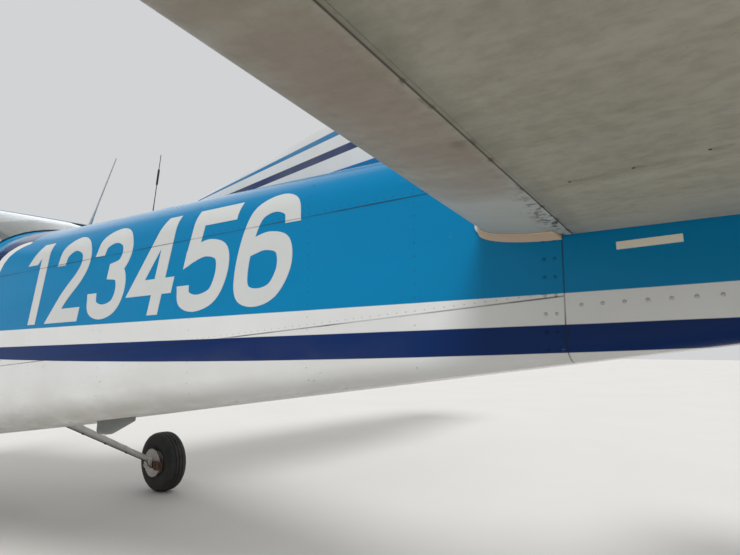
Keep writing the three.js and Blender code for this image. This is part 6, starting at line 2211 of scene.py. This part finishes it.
# Cabin fittings
@dataclass
class Seats:
    """Padded front seats and rear bench on their rails."""
    floor: float = 0.622

    def pad(self, name: str, x0: float, x1: float, y0: float, y1: float, z0: float, z1: float, lean: float,
            panels: int) -> None:
        """Crowned cushion with sewn panels: a rounded box that leans aft, swollen by a cloth run and sewn."""
        m, n = 44, 40
        theta = (np.arange(n) + 0.5) / n * 2 * np.pi
        v = np.linspace(-1, 1, m)
        power = 0.22
        cx, sx = np.cos(theta), np.sin(theta)
        ring_x = np.sign(cx) * np.abs(cx) ** power
        ring_y = np.sign(sx) * np.abs(sx) ** power
        edge = (1 - np.abs(v) ** 14) ** 0.35
        hx, hy, hz = (x1 - x0) / 2, (y1 - y0) / 2, (z1 - z0) / 2
        tall = hz > hy
        X = ring_x[None] * (0.93 + 0.07 * edge[:, None]) * hx
        Y = ring_y[None] * (0.86 + 0.14 * edge[:, None]) * hy
        Z = np.broadcast_to((v * (0.97 if tall else 1.0))[:, None] * hz, X.shape).copy()
        bulge = np.cos(np.clip(X / hx, -1, 1) * np.pi / 2) ** 0.5
        if tall:
            Y += np.sign(Y) * 0.010 * bulge * np.cos(np.clip(Z / hz, -1, 1) * np.pi / 2) ** 0.5
        middle = np.stack([X + (x0 + x1) / 2, Y + (y0 + y1) / 2 + lean * (Z + hz) / (2 * hz),
                           Z + (z0 + z1) / 2], -1)
        made = Soup().add(*loft(middle)).piece(name, PALETTE.cloth, Body.AIRFRAME, 70.0)
        self.inflate(made)
        self.sew(made, np.linspace(x0, x1, panels + 1)[1:-1], 1 if tall else 2)

    @staticmethod
    def sew(made: bpy.types.Object, lines: np.ndarray, face: int) -> None:
        """Draw in channels on the padded face: a bell curve, 7 mm deep, of each point's distance from a line.

        Args:
            made: the cushion.
            lines: x of each seam.
            face: axis of the padded face, forward for 1 and up for 2.
        """
        mesh = made.data
        spots, normals = vectors(mesh.vertices, "co"), vectors(mesh.vertices, "normal")
        facing = np.clip(normals[:, face] * (-1 if face == 1 else 1) * 2 - 0.5, 0, 1)
        depth = np.exp(-((spots[:, :1] - lines) / 0.0065) ** 2).sum(1) * facing * 0.007
        mesh.vertices.foreach_set("co", (spots - normals * depth[:, None]).ravel())
        mesh.update()

    @staticmethod
    def inflate(made: bpy.types.Object) -> None:
        """Swell the cushion with a short cloth run: remeshed, blown up, capped and subdivided once."""
        voxel, pressure, stiffness, frames, most = 0.009, 4.0, 25.0, 14, 0.008
        remesh = made.modifiers.new("even", "REMESH")
        remesh.mode, remesh.voxel_size = "VOXEL", voxel
        fresh = baked(made)
        made.modifiers.clear()
        made.data = fresh
        before = vectors(fresh.vertices, "co")
        cloth = made.modifiers.new("cloth", "CLOTH")
        settings = cloth.settings
        settings.use_pressure, settings.uniform_pressure_force = True, pressure
        settings.effector_weights.gravity = 0.0
        settings.quality = 4
        settings.tension_stiffness = settings.compression_stiffness = stiffness
        cloth.point_cache.frame_start, cloth.point_cache.frame_end = 1, frames
        for step in range(1, frames + 1):
            bpy.context.scene.frame_set(step)
        shift = vectors(baked(made).vertices, "co") - before
        made.modifiers.clear()
        bpy.context.scene.frame_set(1)
        size = np.linalg.norm(shift, axis=1)[:, None] + 1e-9
        shift *= np.minimum(size, most) / size
        fresh.vertices.foreach_set("co", (before + shift).ravel())
        fresh.update()
        finer = made.modifiers.new("finer", "SUBSURF")
        finer.levels = finer.render_levels = 1
        smooth = baked(made)
        made.modifiers.clear()
        made.data = smooth
        smoothed(smooth)
        if not smooth.materials:
            smooth.materials.append(material_of(PALETTE.cloth))

    def seat(self, name: str, x: float, half: float, front: float, back: float, top: float,
             panels: int) -> None:
        """Rails, frame, cushion, back rest and welt of one seat."""
        cushion = 0.960
        rails = Soup()
        for s in (1, -1):
            xm = x + s * (half - 0.055)
            rails.add(*block(xm - 0.013, xm + 0.013, at(front) + 0.04, at(back), self.floor + 0.0006,
                             self.floor + 0.026, 0.003))
            for y in (at(front) + 0.08, at(back) - 0.05):
                rails.add(*rod((xm, y, self.floor + 0.026), (xm, y, cushion - 0.112), 0.011, 0.011, 20))
            rails.add(*rod((xm, at(front) + 0.05, cushion - 0.118), (xm, at(back), cushion - 0.118),
                           0.011, 0.011, 20))
        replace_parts(rails.piece(f"{name}_frame", PALETTE.black, Body.AIRFRAME, 35.0), name)
        self.pad(f"{name}_cushion", x - half + 0.012, x + half - 0.012, at(front) + 0.010, at(back) - 0.055,
                 cushion - 0.104, cushion - 0.010, 0.0, panels)
        self.pad(f"{name}_rest", x - half + 0.012, x + half - 0.012, at(back) - 0.045, at(back + 2) - 0.010,
                 cushion - 0.050, top - 0.012, 0.080, panels)
        y0, y1, reach = at(front) + 0.006, at(back) - 0.060, half - 0.010
        ring = rounded([(x - reach, y0), (x + reach, y0), (x + reach, y1), (x - reach, y1)], 0.045, 10)
        loop = np.column_stack([ring, np.full(len(ring), cushion - 0.055)])
        welt = Soup().add(*swept(loop, circle(0.0035, 10), (0, 0, 1), True))
        welt.piece(f"{name}_piping", PALETTE.piping, Body.AIRFRAME, 50.0)

    def build(self) -> None:
        """Two front seats and the bench."""
        self.seat("front_seat_left", 0.250, 0.220, 27, 43, 1.560, 4)
        self.seat("front_seat_right", -0.250, 0.220, 27, 43, 1.560, 4)
        self.seat("rear_bench", 0.0, 0.440, 58, 74, 1.480, 8)


@dataclass
class Panel:
    """Instrument panel, glare shield, dials, radio stack and control columns."""

    def build(self) -> None:
        """Everything forward of the front seats."""
        body = Soup()
        body.add(*block(-0.440, 0.440, at(14), at(17), 1.182, 1.458, 0.010))
        body.add(*block(-0.430, 0.430, at(10.5), at(15), 1.460, 1.478, 0.007))
        body.add(*block(-0.070, 0.070, at(12.6), at(16), 0.664, 1.181, 0.012))
        for x in (0.250, -0.250):
            body.add(*rod((x, at(16.9), 1.270), (x, at(24), 1.270), 0.013, 0.013, 32))
            path = smooth_path([(x - 0.108, at(24.2), 1.347), (x - 0.109, at(24.2), 1.30),
                                (x - 0.09, at(24.2), 1.272),
                                (x - 0.03, at(24.2), 1.268), (x + 0.03, at(24.2), 1.268),
                                (x + 0.09, at(24.2), 1.272),
                                (x + 0.109, at(24.2), 1.30), (x + 0.108, at(24.2), 1.347)], 60)
            body.add(*swept(path, circle(0.0125, 20), (0, 1, 0)))
        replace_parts(body.piece("panel_body", PALETTE.black, Body.AIRFRAME, 35.0), "instrument_panel")
        bezels, faces, marks = Soup(), Soup(), Soup()
        y = at(17)
        for x, z, r in ((0.345, 1.395, 0.039), (0.255, 1.395, 0.039), (0.165, 1.395, 0.039),
                        (0.345, 1.305, 0.039),
                        (0.255, 1.330, 0.020), (0.165, 1.305, 0.039), (0.05, 1.40, 0.026),
                        (0.05, 1.335, 0.026),
                        (-0.18, 1.38, 0.028), (-0.25, 1.38, 0.028)):
            bezels.add(*turned([(r, 0.0), (r, 0.004), (r - 0.003, 0.0055), (r - 0.006, 0.0045),
                                (r - 0.006, 0.0), (r, 0.0)],
                               (x, y, z), 1, 40))
            faces.add(*turned([(0.0003, 0.0003), (r - 0.0063, 0.0003), (r - 0.0063, 0.0022),
                               (0.0003, 0.0022)], (x, y, z), 1, 36))
            for k in range(12):
                a = k / 12 * 2 * math.pi
                d = np.array([math.cos(a), 0, math.sin(a)])
                marks.add(*rod(np.array([x, y + 0.0026, z]) + d * (r - 0.013),
                               np.array([x, y + 0.0026, z]) + d * (r - 0.008),
                               0.0007, 0.0007, 6))
            d = np.array([math.cos(r * 90 + x * 9), 0, math.sin(r * 90 + x * 9)])
            marks.add(*rod((x, y + 0.0029, z), np.array([x, y + 0.0029, z]) + d * (r - 0.012),
                           0.0008, 0.0004, 6))
        for z in (1.405, 1.352, 1.298):
            bezels.add(*block(-0.135, -0.005, y + 0.0003, y + 0.008, z - 0.022, z + 0.022, 0.003))
            faces.add(*block(-0.118, -0.05, y + 0.0083, y + 0.0095, z - 0.010, z + 0.012, 0.0004))
            for x in (-0.128, -0.018, -0.034):
                marks.add(*rod((x, y + 0.008, z - 0.004), (x, y + 0.016, z - 0.004), 0.005, 0.0045, 16))
        bezels.piece("dial_bezels", PALETTE.black, Body.AIRFRAME, 30.0)
        faces.piece("dial_faces", PALETTE.dial, Body.AIRFRAME, 30.0)
        marks.piece("dial_marks", PALETTE.needle, Body.AIRFRAME, 40.0)


@dataclass
class Fittings:
    """Antennas, lights and pitot tube."""

    def whip(self, name: str, foot: tuple[float, float], tip: tuple[float, float], radius: float,
             flare: float,
             coil: tuple[float, float, float], finish: Finish) -> None:
        """Straight rod that grows to a cone at its foot, on a round flange, with one thicker length.

        Args:
            name: the node that it stands for.
            foot: x and station.
            tip: length and height of the top.
            radius: of the rod, which thins towards the tip.
            flare: radius at the foot.
            coil: start, end and radius of the thicker length, as shares of the whole.
            finish: paint of rod and flange.
        """
        x, station = foot
        crown = float(TAIL.sizes(np.array(station))[2])
        start, end = np.array([x, at(station), crown + 0.004]), np.array([x, *tip])
        t = np.linspace(0, 1, 60)
        size = radius * (1 - 0.32 * t) + (flare - radius) * np.clip(1 - t / 0.42, 0, 1) ** 1.6
        size = np.where((t > coil[0]) & (t < coil[1]), coil[2], size) / radius
        whip = Soup().add(*swept(start + (end - start) * t[:, None], circle(radius, 20), (0, 1, 0),
                                 False, size))
        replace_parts(whip.piece(name + "_rod", finish, Body.AIRFRAME, 50.0), name)
        wide = flare * 1.5
        base = Soup().add(*turned([(0.001, crown - 0.012), (wide, crown - 0.012), (wide, crown + 0.002),
                                   (wide - 0.003, crown + 0.0045), (0.001, crown + 0.0045)],
                                  (x, at(station), 0.0), 2, 36))
        base.piece(name + "_foot", finish, Body.AIRFRAME, 40.0)

    def build(self) -> None:
        """All the small fittings."""
        self.whip("antenna_fore", (0.0, 108.9), (at(110.2) + 0.226, 1.996), 0.0050, 0.0125, (0.0, 0.0, 0.005),
                  PALETTE.white)
        self.whip("antenna_aft", (-0.100, 125.4), (at(126.1) + 0.043, 1.991), 0.0022, 0.0045,
                  (0.6, 0.8, 0.0046),
                  PALETTE.seal)
        self.blade()
        for side in Side:
            self.lens(side)
        self.beacon()
        self.pitot()

    @staticmethod
    def blade() -> None:
        """Belly blade: a plate with rounded edges, cut to the belly of the tail cone."""
        rows = []
        for z in np.linspace(0.7235, 0.862, 24):
            back = float(np.interp(z, [0.723, 0.728, 0.800], [at(121.5), at(123.0), at(130.5)]))
            front = at(118.3)
            a = np.arange(28) / 28 * 2 * np.pi
            half = 0.0155 * min(1.0, 0.45 + (z - 0.7235) / 0.02)
            mid, long = (front + back) / 2, (back - front) / 2
            rows.append(np.stack([half * np.sign(np.sin(a)) * np.abs(np.sin(a)) ** 0.6,
                                  mid + long * np.sign(np.cos(a)) * np.abs(np.cos(a)) ** 0.8,
                                  np.full(28, z)], 1))
        made = Soup().add(*loft(np.array(rows))).piece("belly_blade", PALETTE.blade_grey, Body.AIRFRAME, 40.0)
        carve(made, [cutter(*loft(TAIL.rings(np.linspace(112, 135, 24))))])
        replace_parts(made, "belly_antenna")

    @staticmethod
    def lens(side: Side) -> None:
        """Position lens in the node's box: a round front and a straight taper behind it."""
        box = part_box(f"position_light_{side.word}")
        low, high = np.array(box[0]), np.array(box[1])
        y = np.linspace(0, 1, 16)
        middle = (low + high) / 2
        angle = (np.arange(24) + 0.5) / 24 * 2 * np.pi
        front = 0.35
        bow = np.sqrt(np.clip(1 - (1 - y / front) ** 2, 0.02, 1))
        size = np.where(y < front, bow, 1 - 0.45 * (y - front) / (1 - front))
        half = (high - low) / 2 * 0.98
        ring = np.stack([middle[0] + size[:, None] * half[0] * np.cos(angle),
                         np.broadcast_to((low[1] + (high[1] - low[1]) * y)[:, None], (16, 24)),
                         middle[2] + size[:, None] * half[2] * np.sin(angle)], -1)
        lens = Soup().add(*loft(ring)).piece(f"position_lens_{side.word}",
                                            PALETTE.red_lens if side is Side.LEFT else PALETTE.green_lens,
                                            Body.AIRFRAME, 50.0)
        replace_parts(lens, f"position_light_{side.word}")

    @staticmethod
    def beacon() -> None:
        """Red beacon on its round base, on top of the fin."""
        z0 = 2.6183
        beacon = Soup().add(*turned([(0.0005, z0 + 0.012), (0.0175, z0 + 0.012), (0.0175, z0 + 0.030),
                                     (0.0160, z0 + 0.044),
                                     (0.0120, z0 + 0.054), (0.0005, z0 + 0.0575)],
                                    (0.0, at(242), 0.0), 2, 36))
        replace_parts(beacon.piece("beacon_lens", PALETTE.red_lens, Body.AIRFRAME, 40.0), "fin_beacon")
        rim = Soup().add(*turned([(0.0005, z0), (0.019, z0), (0.019, z0 + 0.009), (0.0180, z0 + 0.0117),
                                  (0.0005, z0 + 0.0117)], (0.0, at(242), 0.0), 2, 36))
        rim.piece("beacon_base", PALETTE.alloy, Body.AIRFRAME, 30.0)

    @staticmethod
    def pitot() -> None:
        """Bent tube under the wing, in the node's box."""
        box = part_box("pitot_tube")
        low, high = np.array(box[0]), np.array(box[1])
        z = float(low[2]) + 0.010
        y_post = float(high[1]) - 0.014
        pitot = Soup().add(*swept(smooth_path([(3.250, y_post, float(high[2]) - 0.004),
                                               (3.250, y_post, z + 0.03),
                                               (3.250, y_post - 0.008, z + 0.008), (3.250, y_post - 0.035, z),
                                               (3.250, float(low[1]) + 0.001, z)], 60),
                                  circle(0.0078, 20), (1, 0, 0)))
        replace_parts(pitot.piece("pitot_mast", PALETTE.alloy, Body.AIRFRAME, 50.0), "pitot_tube")


# Stage
def stage() -> None:
    """Pale floor, soft lights, pale sky light and the camera of the photograph."""
    mesh = bpy.data.meshes.new("floor")
    mesh.from_pydata([(-60, -60, 0), (60, -60, 0), (60, 60, 0), (-60, 60, 0)], [], [(0, 1, 2, 3)])
    b = Bench("floor_pale")
    cloud = b.noise(0.6, 4.0)
    b.finish(base_color=b.mix(cloud, tint(206, 203, 198), tint(214, 212, 208)), roughness=0.85)
    mesh.materials.append(b.material)
    placed("floor", mesh)
    world = bpy.data.worlds.new("soft_sky")
    world.use_nodes = True
    back = next(n for n in world.node_tree.nodes if n.type == "BACKGROUND")
    back.inputs["Color"].default_value = (0.92, 0.93, 0.945, 1.0)
    back.inputs["Strength"].default_value = 0.7
    bpy.context.scene.world = world
    for name, way, angle, power in (("key", (-0.62, -0.30, -0.72), 24.0, 2.1),
                                    ("fill", (0.55, 0.60, -0.58), 70.0, 0.5)):
        light = bpy.data.lights.new(name, "SUN")
        light.angle, light.energy = math.radians(angle), power
        placed(name, light).rotation_euler = Vector(way).to_track_quat("-Z", "Y").to_euler()
    camera = bpy.data.cameras.new("camera")
    focal_px, width_px, sensor_mm = 556.0, 740.0, 36.0
    camera.lens, camera.sensor_width = focal_px / width_px * sensor_mm, sensor_mm
    camera.clip_start, camera.clip_end = 0.02, 200.0
    made = placed("camera", camera)
    made.location = (1.245, 2.4956, 1.10)
    pitch, heading = 7.25, 51.5
    made.rotation_euler = (math.radians(90.0 + pitch), 0.0, math.radians(180.0 - heading))
    bpy.context.scene.camera = made
    bpy.context.scene.view_settings.view_transform = "Standard"


def main() -> None:
    """Build every assembly in order."""
    logging.basicConfig(level=logging.INFO, format="%(message)s")
    stage()
    wing = Wing()
    tail = TailCone()
    steps: list[tuple[str, Callable[[], None]]] = [
        ("tail cone", tail.build), ("numerals", Numerals().build), ("tailplane", Tailplane().build),
        ("fin", FinShape().build), ("wings", wing.build), ("cabin", lambda: Cabin().build(wing)),
        ("main gear", MainGear().build), ("nose gear", NoseGear().build), ("nose", Nose().build),
        ("seats", Seats().build), ("panel", Panel().build), ("fittings", Fittings().build)]
    for name, step in steps:
        step()


if __name__ == "__main__":
    main()
